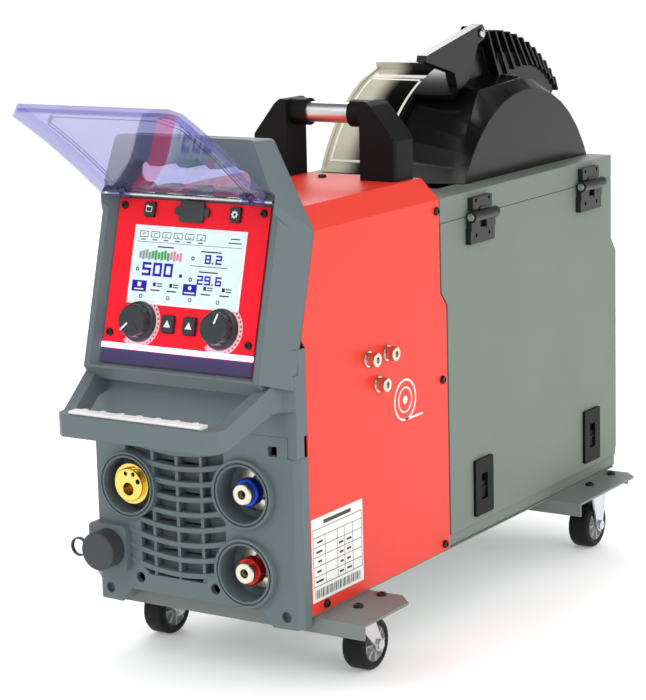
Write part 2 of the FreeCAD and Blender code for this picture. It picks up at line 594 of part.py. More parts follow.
# ---- sockets ------------------------------------------------------------------------------------
def euro_socket():
    """Brass torch socket: wire bore, gas port and two contact sleeves in a round face."""
    front, back = FACE_Y - 1, 60
    nose = rod(15.6, V(EURO_X, front, EURO_Z), V(EURO_X, front + 6, EURO_Z))
    nose = round_edges(nose, 1.0, lambda e: e.BoundBox.Center.y < front + 0.1)
    body = rod(19.0, V(EURO_X, front + 5, EURO_Z), V(EURO_X, WELL_FLOOR + 34, EURO_Z))
    neck = rod(10, V(EURO_X, WELL_FLOOR + 24, EURO_Z), V(EURO_X, back, EURO_Z))
    grooves = [tube(19.5, 17.6, V(EURO_X, front + 7 + i * 3, EURO_Z), V(EURO_X, front + 8.3 + i * 3, EURO_Z))
               for i in range(4)]
    body = cut(fuse(nose, body, neck), *grooves)
    body = body.cut(rod(6.0, V(EURO_X, front - 1, EURO_Z - 4), V(EURO_X, front + 24, EURO_Z - 4)))
    body = body.cut(rod(1.5, V(EURO_X, front, EURO_Z), V(EURO_X, back + 1, EURO_Z)))
    body = body.cut(rod(2.4, V(EURO_X + 11, front - 1, EURO_Z + 4), V(EURO_X + 11, front + 16, EURO_Z + 4)))
    for x in (-2.5, 6.0):
        mouth = V(EURO_X + x, front - 1, EURO_Z + 10.4)
        body = body.cut(rod(2.0, mouth, mouth + Y_AXIS * 13))
    return body


def coupling(z):
    """Quick coupling: stepped nickel nose, a mounting flange and a body that runs back inside."""
    profile = [(0, 4.2), (0, 9), (1, 10), (6, 10), (6, 8), (21.2, 8), (21.2, 9.5), (25.1, 9.5), (25.1, 24),
               (28, 24), (28, 9.5), (46, 9.5), (46, 5), (58, 5), (58, 3), (14, 3), (14, 4.2)]
    return revolve(profile, V(COUPLING_X, FACE_Y - 2, z), Y_AXIS, X_AXIS)


def collar(z):
    """Knurled sleeve that is pulled back to free the hose."""
    x, front = COUPLING_X, FACE_Y - 2
    profile = [(6.3, 8.0 + FIT), (6.3, 11.8), (7.3, 12.8), (16, 12.8), (17, 11.8), (17, 8.0 + FIT)]
    sleeve = revolve(profile, V(x, front, z), Y_AXIS, X_AXIS)
    slot = box(x - 0.5, x + 0.5, front + 8, front + 16, z + 12.0, z + 13)
    return cut(sleeve, *[turned(slot, V(x, 0, z), Y_AXIS, i * 15) for i in range(24)])


def control_socket():
    """Multi-pin remote socket behind the round cap."""
    shell = tube(13.4, 11, V(CAP_X, FACE_Y - 5, CAP_Z), V(CAP_X, -2, CAP_Z))
    core = rod(11.2, V(CAP_X, FACE_Y + 4, CAP_Z), V(CAP_X, -2, CAP_Z))
    pins = [rod(0.9, V(CAP_X + 6 * math.cos(a), FACE_Y - 2, CAP_Z + 6 * math.sin(a)),
                V(CAP_X + 6 * math.cos(a), FACE_Y + 5, CAP_Z + 6 * math.sin(a)))
            for a in [math.radians(60 * i) for i in range(6)]]
    return fuse(shell, core, *pins)


def socket_cap():
    """Screw-on style dust cap with a tether loop at its left edge."""
    front = FACE_Y - 24
    back = FACE_Y - 6.3
    cap = rod(18, V(CAP_X, front, CAP_Z), V(CAP_X, back, CAP_Z))
    cap = round_edges(cap, 1.5, lambda e: e.BoundBox.Center.y < front + 0.5)
    cap = cap.cut(rod(14.5, V(CAP_X, front + 3, CAP_Z), V(CAP_X, back + 1, CAP_Z)))
    ring_x = CAP_X - 18 - 8
    loop = tube(9, 7.4, V(ring_x, front + 6, CAP_Z), V(ring_x, front + 9, CAP_Z))
    return fuse(cap, loop.cut(rod(17.5, V(CAP_X, front, CAP_Z), V(CAP_X, back, CAP_Z))))


# ---- wire drive ---------------------------------------------------------------------------------
def inner_wall():
    """Insulating wall between the wire side and the electronics, carrying the drive unit."""
    wall = box(WALL_X, WALL_X + 4, 30, 234, BODY_BOTTOM + 1, 405)
    foot = box(WALL_X, WALL_X + 25, 30, 234, BODY_BOTTOM, BODY_BOTTOM + 3)
    side = HALF_WIDTH - SHEET - 0.1
    brace = box(WALL_X + 2, side, 94, 146, 299, 302)
    flange = box(side - 4, side, 94, 146, 252, 302)
    wall = fuse(wall, foot, brace, flange)
    low = WIRE_Z - ROLL_R - ROLL_GAP
    holes = [rod(22.2, V(WALL_X - 1, ROLL_Y, low), V(WALL_X + 5, ROLL_Y, low))]
    holes += [rod(3.15, p - X_AXIS * 14, p) for p in DRIVE_BOLTS]
    return cut(wall, *holes)


ARM_Y, ARM_Z = ROLL_Y + 42.0, WIRE_Z + 20.0
LEVER_Y, LEVER_Z = ROLL_Y - 44.0, WIRE_Z + 14.0


def drive_plate():
    """Cast plate with the roll's bearing boss, the arm's pivot and the lever's pivot."""
    x0, x1 = WALL_X - 8, WALL_X
    plate = rounded_box(x0, x1, ROLL_Y - 56, ROLL_Y + 56, WIRE_Z - 46, WIRE_Z + 34, 6, X_AXIS)
    low = WIRE_Z - ROLL_R - ROLL_GAP
    plate = fuse(plate, rod(5.0, V(x0 - 36, ARM_Y, ARM_Z), V(x1, ARM_Y, ARM_Z)))
    plate = fuse(plate, rod(3.0, V(x0 - 30, LEVER_Y, LEVER_Z), V(x1, LEVER_Y, LEVER_Z)))
    return plate.cut(rod(6.0 + FIT, V(x0 - 5, ROLL_Y, low), V(x1 + 5, ROLL_Y, low)))


def drive_motor():
    """Gear motor on the far side of the wall."""
    low = WIRE_Z - ROLL_R - ROLL_GAP
    gearbox = rod(22, V(WALL_X + 0.1, ROLL_Y, low), V(WALL_X + 34, ROLL_Y, low))
    can = rod(28, V(WALL_X + 34, ROLL_Y, low), V(WALL_X + 118, ROLL_Y, low))
    can = round_edges(can, 3, lambda e: e.BoundBox.Center.x > WALL_X + 117)
    foot = box(WALL_X + 4.05, WALL_X + 12, ROLL_Y - 30, ROLL_Y + 30, low - 30, low + 30)
    bore = rod(6.0 + FIT, V(WALL_X - 2, ROLL_Y, low), V(WALL_X + 20, ROLL_Y, low))
    return fuse(gearbox, can, foot).cut(bore)


def feed_roll():
    """Grooved drive roll on its stub shaft."""
    low = WIRE_Z - ROLL_R - ROLL_GAP
    groove = [(-5, 0), (-5, ROLL_R), (-1, ROLL_R), (0, ROLL_R - 1), (1, ROLL_R), (5, ROLL_R), (5, 0)]
    roll = revolve(groove, V(EURO_X, ROLL_Y, low), X_AXIS, Y_AXIS)
    nut = rod(8, V(EURO_X - 14, ROLL_Y, low), V(EURO_X - 5, ROLL_Y, low))
    return fuse(roll, nut, rod(6.0, V(EURO_X + 4, ROLL_Y, low), V(WALL_X + 16, ROLL_Y, low)))


def pressure_arm():
    """Swinging arm over the rolls, hinged at its rear end."""
    x0, x1 = EURO_X - 14, EURO_X + 14
    top = WIRE_Z + ROLL_R + ROLL_GAP
    cheek = prism_x([(ARM_Y + 9, ARM_Z - 8), (ARM_Y + 9, ARM_Z + 9), (ROLL_Y - 32, top + 12),
                     (ROLL_Y - 32, top + 4), (ROLL_Y - 8, top - 6), (ROLL_Y + 8, top - 6)], x0, x1)
    cheek = cheek.cut(box(EURO_X - 7, EURO_X + 7, ROLL_Y - 18, ROLL_Y + 19, top - 30, top + 9))
    cheek = cheek.cut(rod(ROLL_R + 2, V(EURO_X - 7, ROLL_Y, top), V(EURO_X + 7, ROLL_Y, top)))
    pin = rod(3.0, V(x0, ROLL_Y, top), V(x1, ROLL_Y, top))
    return fuse(cheek, pin).cut(rod(5.0 + FIT, V(x0 - 1, ARM_Y, ARM_Z), V(x1 + 1, ARM_Y, ARM_Z)))


def pressure_roll():
    top = WIRE_Z + ROLL_R + ROLL_GAP
    return tube(ROLL_R, 3.0 + FIT, V(EURO_X - 6, ROLL_Y, top), V(EURO_X + 6, ROLL_Y, top))


def tension_lever():
    """Spring post that swings over the arm's tip, with a ribbed red knob."""
    post = rod(4, V(EURO_X, LEVER_Y, LEVER_Z), V(EURO_X, LEVER_Y, LEVER_Z + 62))
    eye = rod(7, V(EURO_X - 8, LEVER_Y, LEVER_Z), V(EURO_X + 8, LEVER_Y, LEVER_Z))
    knob_part = rod(10, V(EURO_X, LEVER_Y, LEVER_Z + 40), V(EURO_X, LEVER_Y, LEVER_Z + 66))
    knob_part = round_edges(knob_part, 2, lambda e: e.BoundBox.ZLength < 0.1)
    bore = rod(3.0 + FIT, V(EURO_X - 9, LEVER_Y, LEVER_Z), V(EURO_X + 9, LEVER_Y, LEVER_Z))
    return fuse(post, eye, knob_part).cut(bore)


def wire_guides():
    """Inlet and outlet liners, in blocks on the drive plate."""
    guides = []
    for y0, y1 in ((62, ROLL_Y - 17), (ROLL_Y + 17, 196)):
        guides.append(tube(3.0, 1.2, V(EURO_X, y0, WIRE_Z), V(EURO_X, y1, WIRE_Z)))
    block = box(EURO_X - 6, WALL_X - 8.05, ROLL_Y + 28, ROLL_Y + 36, WIRE_Z - 6, WIRE_Z + 6)
    block = block.cut(rod(1.2, V(EURO_X, 0, WIRE_Z), V(EURO_X, 300, WIRE_Z)))
    guides[1] = fuse(guides[1], block)
    front = box(EURO_X - 6, WALL_X - 8.05, ROLL_Y - 34, ROLL_Y - 26, WIRE_Z - 18, WIRE_Z + 3)
    front = front.cut(rod(1.2, V(EURO_X, 0, WIRE_Z), V(EURO_X, 300, WIRE_Z)))
    guides[0] = fuse(guides[0], front)
    return Part.makeCompound(guides)


# ---- rear housing, door and hood ----------------------------------------------------------------
def housing_outline(inset, floor):
    return [(HOUSING_START + JOG + inset, floor), (HOUSING_END + JOG - inset, floor),
            (HOUSING_END + JOG - inset, JOG_LOW), (HOUSING_END - inset, JOG_HIGH),
            (HOUSING_END - inset, SIDE_TOP - inset), (HOUSING_START + inset, SIDE_TOP - inset),
            (HOUSING_START + inset, JOG_HIGH), (HOUSING_START + JOG + inset, JOG_LOW)]


HINGE_YS = (311.0, 546.0)
BARREL_X, BARREL_Z, BARREL_R = HALF_WIDTH + 7.0, LID_LINE, 5.5
LATCH_YS = (314.0, 554.0)
DOOR_T = 2.0


def rear_housing():
    """Sheet box over the spool, open to the drive section, with a flanged side opening."""
    step = HALF_WIDTH - DOOR_T - RUN
    outer = prism_x(housing_outline(0, BODY_BOTTOM), -HALF_WIDTH, HALF_WIDTH)
    outer = outer.cut(box(step, HALF_WIDTH + 1, 200, 640, BODY_BOTTOM - 1, LID_LINE + RUN))
    inner = prism_x(housing_outline(SHEET, BODY_BOTTOM + SHEET), -HALF_WIDTH + SHEET, step - SHEET)
    upper = prism_x(housing_outline(SHEET, LID_LINE + 2), -HALF_WIDTH + SHEET, HALF_WIDTH - SHEET)
    upper = upper.common(box(-200, 200, 200, 640, LID_LINE + 2, 450))
    housing = cut(outer, inner, upper)
    opening = [(270, 100), (600, 100), (600, 320), (590, 330), (590, 380), (262, 380), (262, 330), (270, 316)]
    housing = housing.cut(prism_x(opening, step - 5, step + 5))
    housing = housing.cut(box(HOOD_LEFT + 6, HOOD_RIGHT - 6, 300, 602, SIDE_TOP - 4, SIDE_TOP + 4))
    housing = housing.cut(box(-100, 100, HOUSING_START - 1, HOUSING_START + JOG + 4, 110, 380))
    for x, z, radius in REAR_PORTS:
        housing = housing.cut(rod(radius, V(x, HOUSING_END - 5, z), V(x, HOUSING_END + 20, z)))
    for p in SIDE_SCREWS:
        housing = cut(housing, hole(p, X_AXIS, 2.05), mirror_x(hole(p, X_AXIS, 2.05)))
    for y in HINGE_YS:
        for dy in (-13, 13):
            housing = housing.cut(hole(V(HALF_WIDTH, y + dy, SIDE_TOP - 9), X_AXIS, 2.05, 5))
    return housing


REAR_PORTS = [(-60, 150, 7.05), (0, 150, 7.05), (-60, 220, 7.05), (50, 170, 17.05)]   # x, z, hole radius


def hose_nipple(x, z):
    wall = V(x, HOUSING_END + JOG, z)
    profile = [(-12, 2.5), (-12, 7), (0, 7), (0, 9.5), (7, 9.5), (7, 4.5), (26, 4.5), (28, 3.8), (28, 2.5)]
    barb = [(0, 4.4), (0, 5.6), (4, 4.4)]
    barbs = [revolve(barb, wall + Y_AXIS * d, Y_AXIS, X_AXIS) for d in (10, 16, 22)]
    return fuse(revolve(profile, wall, Y_AXIS, X_AXIS), *barbs)


def rear_connectors():
    """Gas and water nipples and the supply socket, through the rear wall."""
    fittings = [hose_nipple(x, z) for x, z, _ in REAR_PORTS[:3]]
    wall = V(REAR_PORTS[3][0], HOUSING_END + JOG, REAR_PORTS[3][1])
    profile = [(-14, 0), (-14, 17), (0, 17), (0, 22), (3, 22), (3, 18), (16, 18), (16, 15), (2, 15), (2, 0)]
    pins = []
    for i in range(5):
        angle = math.radians(72 * i)
        foot = wall + V(8 * math.cos(angle), 1, 8 * math.sin(angle))
        pins.append(rod(1.2, foot, foot + Y_AXIS * 11))
    fittings.append(fuse(revolve(profile, wall, Y_AXIS, X_AXIS), *pins))
    return Part.makeCompound(fittings)


def side_door():
    """Flat door over the spool, with edges that follow the stepped seams."""
    x0 = HALF_WIDTH - DOOR_T
    gap = 1.2
    outline = [(HOUSING_START + JOG + gap, 86), (HOUSING_END + JOG - 3, 86), (HOUSING_END + JOG, 96),
               (HOUSING_END + JOG, JOG_LOW), (HOUSING_END, JOG_HIGH), (HOUSING_END, LID_LINE - RUN),
               (HOUSING_START + gap, LID_LINE - RUN), (HOUSING_START + gap, JOG_HIGH),
               (HOUSING_START + JOG + gap, JOG_LOW)]
    door = prism_x(outline, x0, HALF_WIDTH)
    for y in LATCH_YS:
        door = door.cut(box(x0 - 1, HALF_WIDTH + 1, y - 7.5, y + 7.5, 107, 136))
    for y in HINGE_YS:
        for dy in (-13, 13):
            door = door.cut(hole(V(HALF_WIDTH, y + dy, LID_LINE - 19), X_AXIS, 2.05, 5))
    return door


def hinge_leaf(y, upper):
    """One leaf of a block hinge. The upper leaf holds the middle knuckle, the lower the outer two."""
    x0 = HALF_WIDTH + 0.05
    if upper:
        pads = [box(x0, x0 + 6, y - 19, y + 19, LID_LINE + 6, LID_LINE + 18)]
        knuckles = [(y - 6, y + 6)]
    else:
        pads = [box(x0, x0 + 6, y - 24, y + 24, LID_LINE - 27, LID_LINE - 12)]
        knuckles = [(y - 24, y - 6 - RUN), (y + 6 + RUN, y + 24)]
    barrels = [rod(BARREL_R, V(BARREL_X, a, BARREL_Z), V(BARREL_X, b, BARREL_Z)) for a, b in knuckles]
    webs = []
    for a, b in knuckles:
        z0, z1 = (BARREL_Z, LID_LINE + 8) if upper else (LID_LINE - 14, BARREL_Z)
        webs.append(box(x0 + 2, BARREL_X, a, b, z0, z1))
    leaf = fuse(*pads, *barrels, *webs)
    relief = rod(BARREL_R + RUN, V(BARREL_X, y - 6 - RUN, BARREL_Z), V(BARREL_X, y + 6 + RUN, BARREL_Z))
    sides = [rod(BARREL_R + RUN, V(BARREL_X, a, BARREL_Z), V(BARREL_X, b, BARREL_Z))
             for a, b in ((y - 25, y - 6), (y + 6, y + 25))]
    leaf = cut(leaf, *sides) if upper else leaf.cut(relief)
    for dy in (-13, 13):
        z = SIDE_TOP - 9 if upper else LID_LINE - 19
        leaf = leaf.cut(rod(2.05, V(x0 - 1, y + dy, z), V(x0 + 9, y + dy, z)))
    return leaf.cut(rod(2.5 + FIT, V(BARREL_X, y - 30, BARREL_Z), V(BARREL_X, y + 30, BARREL_Z)))


def hinge_blocks(upper):
    return Part.makeCompound([hinge_leaf(y, upper) for y in HINGE_YS])


def hinge_pins():
    """Pins of the door hinges, the flap and the hood lid."""
    pins = []
    for y in HINGE_YS:
        pin = rod(2.5, V(BARREL_X, y - 24.5, BARREL_Z), V(BARREL_X, y + 24.5, BARREL_Z))
        head = rod(3.6, V(BARREL_X, y - 26, BARREL_Z), V(BARREL_X, y - 24.5, BARREL_Z))
        pins.append(fuse(pin, head))
    pins.append(rod(2.0, V(-91.5, FLAP_Y, FLAP_Z), V(91.5, FLAP_Y, FLAP_Z)))
    lug = V(0, HOOD_PIN.y, HOOD_PIN.z)
    pin = rod(3.0, lug + V(34.2, 0, 0), lug + V(HORN_X1 + 0.6, 0, 0))
    head = rod(4.6, lug + V(HORN_X1 + 0.6, 0, 0), lug + V(HORN_X1 + 3.4, 0, 0))
    head = round_edges(head, 2.2, lambda e: e.BoundBox.Center.x > HORN_X1 + 3)
    pins.append(fuse(pin, head))
    return Part.makeCompound(pins)


def latch_bezels():
    bezels = []
    for y in LATCH_YS:
        plate = rounded_box(HALF_WIDTH + 0.05, HALF_WIDTH + 3, y - 18, y + 18, 93, 150, 2, X_AXIS)
        pocket = rounded_box(HALF_WIDTH - DOOR_T, HALF_WIDTH + 1, y - 7.4, y + 7.4, 107.1, 135.9, 1, X_AXIS)
        bezel = fuse(plate, pocket)
        bezels.append(bezel.cut(box(HALF_WIDTH - 4, HALF_WIDTH + 4, y - 6, y + 6, 108.5, 134.5)))
    return Part.makeCompound(bezels)


def latch(y):
    """Finger slide in its bezel, with a tongue that rests behind the housing's sill."""
    x1 = HALF_WIDTH + 0.8
    slide = box(HALF_WIDTH - 1.6, x1, y - 5.7, y + 5.7, 109, 126)
    grip = box(HALF_WIDTH - 1.6, x1 + 1.2, y - 5.7, y + 5.7, 119, 121)
    return fuse(slide, grip)


def between(start, end, count):
    """Points that split a straight line into equal steps, with both ends."""
    steps = [i / count for i in range(count + 1)]
    return [(start[0] + (end[0] - start[0]) * s, start[1] + (end[1] - start[1]) * s) for s in steps]


def hood_station(x, lower):
    """Hood outline at one place across its width, shrunk inwards by lower."""
    base = SIDE_TOP + 0.1
    rear_r = (HOOD_R if x <= LENS_RIGHT else HOOD_R - 6) - lower
    rear = arc_points(HOOD_Y - 2, HOOD_Z - 4, rear_r, 96, 150, 6)
    if x <= LENS_RIGHT:
        front = arc_points(HOOD_Y, HOOD_Z, HOOD_R - lower, 22, 72, 6)
        front[0] = (HOOD_Y - math.sqrt((HOOD_R - lower) ** 2 - (base - HOOD_Z) ** 2), base)
        front += arc_points(HOOD_Y, HOOD_Z, HOOD_R - lower, 78, 90, 2)
    else:
        low, high = (333 + lower, base), (386 + lower, 505 - lower)
        front = between(low, high, 6) + between(high, rear[0], 4)[1:-1]
    limit = HOUSING_END - 2 - lower
    rear = [(min(y, limit), z) for y, z in rear] + [(limit, base)]
    return [V(x, y, z) for y, z in front + rear]


def hood_solid(lower):
    left = loft(hood_station(HOOD_LEFT + lower, lower + 3), hood_station(LENS_LEFT + lower, lower))
    middle = loft(hood_station(LENS_LEFT + lower, lower), hood_station(LENS_RIGHT, lower))
    right = loft(hood_station(LENS_RIGHT, lower), hood_station(HOOD_RIGHT - 8 - lower, lower))
    disc_front, disc_rear = 336 + lower, HOUSING_END - 3 - lower
    mid, half = (disc_front + disc_rear) / 2, (disc_rear - disc_front) / 2
    rise = 82 - lower
    radius = (half * half + rise * rise) / (2 * rise)
    edge = math.degrees(math.asin((radius - rise) / radius))
    centre = SIDE_TOP + 0.1 + rise - radius
    arc = arc_points(mid, centre, radius, edge, 62, 6) + arc_points(mid, centre, radius, 70, 86, 2)
    arc += arc_points(mid, centre, radius, 93, 147, 6)
    arc += arc_points(mid, centre, radius, 147, 180 - edge, 1)[1:]
    disc = [V(HOOD_RIGHT + 4 - lower, y, z) for y, z in arc]
    bulge = loft(hood_station(HOOD_RIGHT - 8 - lower, lower), disc)
    return [left, middle, right, bulge]


def hood_fins():
    """Fan of thin fins behind the lid's pivot, with tops that lean forward."""
    fins = []
    count = 12
    for i in range(count):
        s = i / (count - 1)
        nose = math.radians(84 + 47 * s)
        reach = 203 - 13 * s
        ny, nz = HOOD_Y - reach * math.cos(nose), HOOD_Z + reach * math.sin(nose)
        lean = math.radians(26 + 12 * math.sin(math.pi * s))
        down = V(0, math.sin(lean), -math.cos(lean)) * (56 - 40 * s)
        across = V(0, math.cos(lean), math.sin(lean)) * 1.2
        top = V(HORN_X1 - 22, ny, nz)
        corners = [top - across, top + across, top + across + down, top - across + down]
        fins.append(Part.Face(wire(corners)).extrude(V(22, 0, 0)))
    return fins


def hood_shell():
    """Moulded spool hood: round front, swept side panel, domed side disc and a finned horn."""
    outer = fuse(*hood_solid(0))
    inner = fuse(*[moved(s, z=-0.3) for s in hood_solid(HOOD_T)])
    lug = prism_x([(405, 500), (419, 556), (427, 566), (438, 562), (474, 500)], LUG_X0, HORN_X0 - RUN)
    crest = [arc_points(HOOD_Y, HOOD_Z, 178 + i * 0.75, 91 + i * 3.6, 92 + i * 3.6, 1)[0] for i in range(13)]
    root = arc_points(HOOD_Y, HOOD_Z, 150, 91, 134, 12)
    ridge = prism_x(crest + root[::-1], HORN_X0 - 5, HORN_X1 - 3)
    shell = fuse(outer, lug, ridge, *hood_fins())
    shell = shell.cut(inner)
    window = box(LENS_LEFT + 6, LENS_RIGHT - 6, 280, 400, SIDE_TOP + 12, 540)
    return shell.cut(window).cut(rod(3.0 + FIT, V(30, HOOD_PIN.y, HOOD_PIN.z), V(70, HOOD_PIN.y, HOOD_PIN.z)))


LENS_LOW, LENS_HIGH = 24.0, 77.0


def arc_band(r0, r1, start, end, x0, x1):
    outer = arc_points(HOOD_Y, HOOD_Z, r1, start, end, 16)
    inner = arc_points(HOOD_Y, HOOD_Z, r0, start, end, 16)
    return prism_x(outer + inner[::-1], x0, x1)


def hood_window():
    """Curved clear lens of the lid."""
    r = HOOD_R + 2.0
    return arc_band(r, r + 3, LENS_LOW + 1.5, LENS_HIGH - 2, LENS_LEFT + 3.0, LENS_RIGHT - 3.0)


def lid_frame():
    """Lid frame: rims round the lens, a cross bar and the arm that turns on the pin."""
    r = HOOD_R + 0.6
    left = arc_band(r, r + 6.5, LENS_LOW, LENS_HIGH, LENS_LEFT, LENS_LEFT + 2.95)
    right = arc_band(r, r + 6.5, LENS_LOW, LENS_HIGH, LENS_RIGHT - 2.95, LENS_RIGHT)
    foot = arc_band(r, r + 6.5, LENS_LOW, LENS_LOW + 1.45, LENS_LEFT, LENS_RIGHT)
    bar = arc_band(r + 3.6, r + 9, 56, 67, LENS_RIGHT - 1, HORN_X1)
    deck = arc_band(r + 3.6, r + 9, 66, LENS_HIGH, LENS_RIGHT - 1, LUG_X0 - RUN)
    crown = arc_band(r, r + 12, LENS_HIGH - 1.95, LENS_HIGH, LENS_LEFT, LENS_RIGHT)
    arm = prism_x([(378, 508), (400, 514), (421, 549), (434, 553), (436, 562), (430, 568), (422, 567),
                   (318, 545), (316, 539), (372, 524)], HORN_X0, HORN_X1)
    return fuse(left, right, foot, bar, deck, crown, arm).cut(
        rod(3.0 + FIT, V(30, HOOD_PIN.y, HOOD_PIN.z), V(70, HOOD_PIN.y, HOOD_PIN.z)))


# ---- spool --------------------------------------------------------------------------------------
def spool_spindle():
    """Fixed hub on the housing's left wall, with a screwed retaining nut."""
    wall = -HALF_WIDTH + SHEET
    flange = rod(40, V(wall + 0.1, SPOOL_Y, SPOOL_Z), V(wall + 6, SPOOL_Y, SPOOL_Z))
    post = rod(16, V(wall + 6, SPOOL_Y, SPOOL_Z), V(SPOOL_X0 - 6, SPOOL_Y, SPOOL_Z))
    hub = rod(25, V(SPOOL_X0 - 6, SPOOL_Y, SPOOL_Z), V(SPOOL_X1 + 3, SPOOL_Y, SPOOL_Z))
    nut = rod(31, V(SPOOL_X1 + 3, SPOOL_Y, SPOOL_Z), V(SPOOL_X1 + 14, SPOOL_Y, SPOOL_Z))
    stop = rod(34, V(SPOOL_X0 - 6, SPOOL_Y, SPOOL_Z), V(SPOOL_X0 - 1, SPOOL_Y, SPOOL_Z))
    return fuse(flange, post, hub, nut, stop)


def wire_spool():
    """Wire spool: two spoked flanges on a drum."""
    centre = V(SPOOL_X0, SPOOL_Y, SPOOL_Z)
    width = SPOOL_X1 - SPOOL_X0
    profile = [(0, 25.05), (0, SPOOL_R), (3, SPOOL_R), (3, 50), (width - 3, 50), (width - 3, SPOOL_R),
               (width, SPOOL_R), (width, 25.05)]
    spool = revolve(profile, centre, X_AXIS, Y_AXIS)
    ring = tube(47, 30, V(SPOOL_X0 - 1, SPOOL_Y, SPOOL_Z), V(SPOOL_X1 - 3, SPOOL_Y, SPOOL_Z))
    window = rod(17, V(SPOOL_X0 - 1, SPOOL_Y, SPOOL_Z + 100), V(SPOOL_X1 + 1, SPOOL_Y, SPOOL_Z + 100))
    return cut(spool, ring, *[turned(window, centre, X_AXIS, i * 60) for i in range(6)])


# ---- output -------------------------------------------------------------------------------------
def main():
    os.makedirs("parts", exist_ok=True)
    save("black_screws", body_screws())
    save("drive_unit_bolts", drive_unit_bolts())
    save("base_tray", base_tray())
    save("front_caster_bracket", caster_bracket(165, 4, 97, 16, (44, 40), FRONT_BRACKET_SCREWS))
    save("rear_caster_bracket", caster_bracket(150, 457, 597, 12, (10, 10), REAR_BRACKET_SCREWS))
    save("caster_swivel_heads", swivel_heads())
    save("rear_caster_forks", rear_caster_forks())
    for side, x in (("left", -CASTER_X), ("right", CASTER_X)):
        save("caster_fork_front_" + side, swivel_fork(x))
        save("caster_wheel_front_" + side, caster_wheel(x, FRONT_AXLE_Y))
        save("caster_wheel_rear_" + side, caster_wheel(x, REAR_AXLE_Y))
    save("red_cover", red_cover())
    save("handle_post_right", handle_post(1))
    save("handle_post_left", handle_post(-1))
    save("handle_tube", handle_tube())
    save("front_casing", front_casing())
    save("console_frame", console_frame())
    save("grip_strip", grip_strip())
    save("control_plate", control_plate())
    save("lcd_display", lcd_display())
    save("led_bar", led_bar())
    save("control_board", control_board())
    save("knob_left", knob(-44.5))
    save("knob_right", knob(44.5))
    save("up_button_left", button(-11.7, 23, 6.5, 7.7))
    save("up_button_right", button(11.7, 23, 6.5, 7.7))
    save("menu_button", button(-46.5, 124, 5.5, 6.5))
    save("settings_button", button(46.5, 124, 5.5, 6.5))
    save("usb_cover", usb_cover())
    save("display_flap", display_flap())
    save("euro_socket", euro_socket())
    save("coupling_bodies", Part.makeCompound([coupling(BLUE_Z), coupling(RED_Z)]))
    save("collar_blue", collar(BLUE_Z))
    save("collar_red", collar(RED_Z))
    save("control_socket", control_socket())
    save("socket_cap", socket_cap())
    save("inner_wall", inner_wall())
    save("drive_plate", drive_plate())
    save("drive_motor", drive_motor())
    save("feed_roll", feed_roll())
    save("pressure_arm", pressure_arm())
    save("pressure_roll", pressure_roll())
    save("tension_lever", tension_lever())
    save("wire_guides", wire_guides())
    save("rear_housing", rear_housing())
    save("rear_connectors", rear_connectors())
    save("side_door", side_door())
    save("door_hinge_upper_leaves", hinge_blocks(True))
    save("door_hinge_lower_leaves", hinge_blocks(False))
    save("hinge_pins", hinge_pins())
    save("latch_bezels", latch_bezels())
    save("latch_front", latch(LATCH_YS[0]))
    save("latch_rear", latch(LATCH_YS[1]))
    save("hood_shell", hood_shell())
    save("hood_window", hood_window())
    save("hood_lid_frame", lid_frame())
    save("spool_spindle", spool_spindle())
    save("wire_spool", wire_spool())


main()
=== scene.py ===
import bpy
import bmesh
import json
import math
from mathutils import Matrix, Vector


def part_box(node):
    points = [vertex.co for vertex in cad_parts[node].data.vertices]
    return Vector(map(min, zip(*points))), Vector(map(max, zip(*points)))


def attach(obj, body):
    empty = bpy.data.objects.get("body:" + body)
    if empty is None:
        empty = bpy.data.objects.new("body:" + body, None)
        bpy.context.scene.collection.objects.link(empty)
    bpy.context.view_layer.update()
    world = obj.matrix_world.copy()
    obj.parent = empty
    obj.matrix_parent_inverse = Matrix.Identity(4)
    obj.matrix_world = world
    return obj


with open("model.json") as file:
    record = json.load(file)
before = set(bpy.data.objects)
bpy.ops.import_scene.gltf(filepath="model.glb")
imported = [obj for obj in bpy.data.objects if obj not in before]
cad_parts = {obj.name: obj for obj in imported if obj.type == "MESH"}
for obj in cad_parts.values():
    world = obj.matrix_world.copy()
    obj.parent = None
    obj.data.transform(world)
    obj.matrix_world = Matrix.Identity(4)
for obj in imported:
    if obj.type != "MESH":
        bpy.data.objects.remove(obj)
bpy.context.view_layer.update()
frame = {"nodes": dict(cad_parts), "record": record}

# Places are in millimetres in the CAD source's own frame: X across, Y back from the seam behind the moulded
# front, Z from the floor.
MM = 0.001
SEAM_TO_ORIGIN = 251.261      # from that seam back to the object's origin
HALF_WIDTH = 113.5            # half of the body's width

# The control panel leans back from its foot. Its own places are X across, then up along it, then out from it.
PANEL_FOOT_Y, PANEL_FOOT_Z, PANEL_LEAN = -32.0, 311.0, math.radians(15.5)
PLATE_FRONT, SCREEN_FRONT, BUTTON_FRONT = 2.0, 2.4, 5.0       # how far these stand out
KNOB_X, KNOB_UP, KNOB_FRONT = 44.5, 23.0, 15.9
UP_BUTTON_X = 11.7
KEY_X, KEY_UP = 46.5, 124.0   # the menu key is at -KEY_X, and the settings key is at KEY_X
INK = 0.12                    # thickness of printed marks

# The flap's pin and slope when it's open, and the line moulded into it, measured from its middle and its pin.
FLAP_PIN_Y, FLAP_SLOPE = -10.0, math.radians(34.5)
LINE_HALF, LINE_LONG, LINE_CORNER, LINE_WIDE = 70.0, 138.0, 16.0, 2.4

# The hood's lens is part of a cylinder. It goes from pale to dark between two places across it.
HOOD_Y, HOOD_Z, LENS_R = 464.0, 358.0, 169.0
# The pale stretch is painted light: a cream for light from inside the hood, seen through the lens.
LENS_PALE_END, LENS_DARK_START = -44.0, -18.0
LENS_SMOKE = (0.16, 0.16, 0.13)

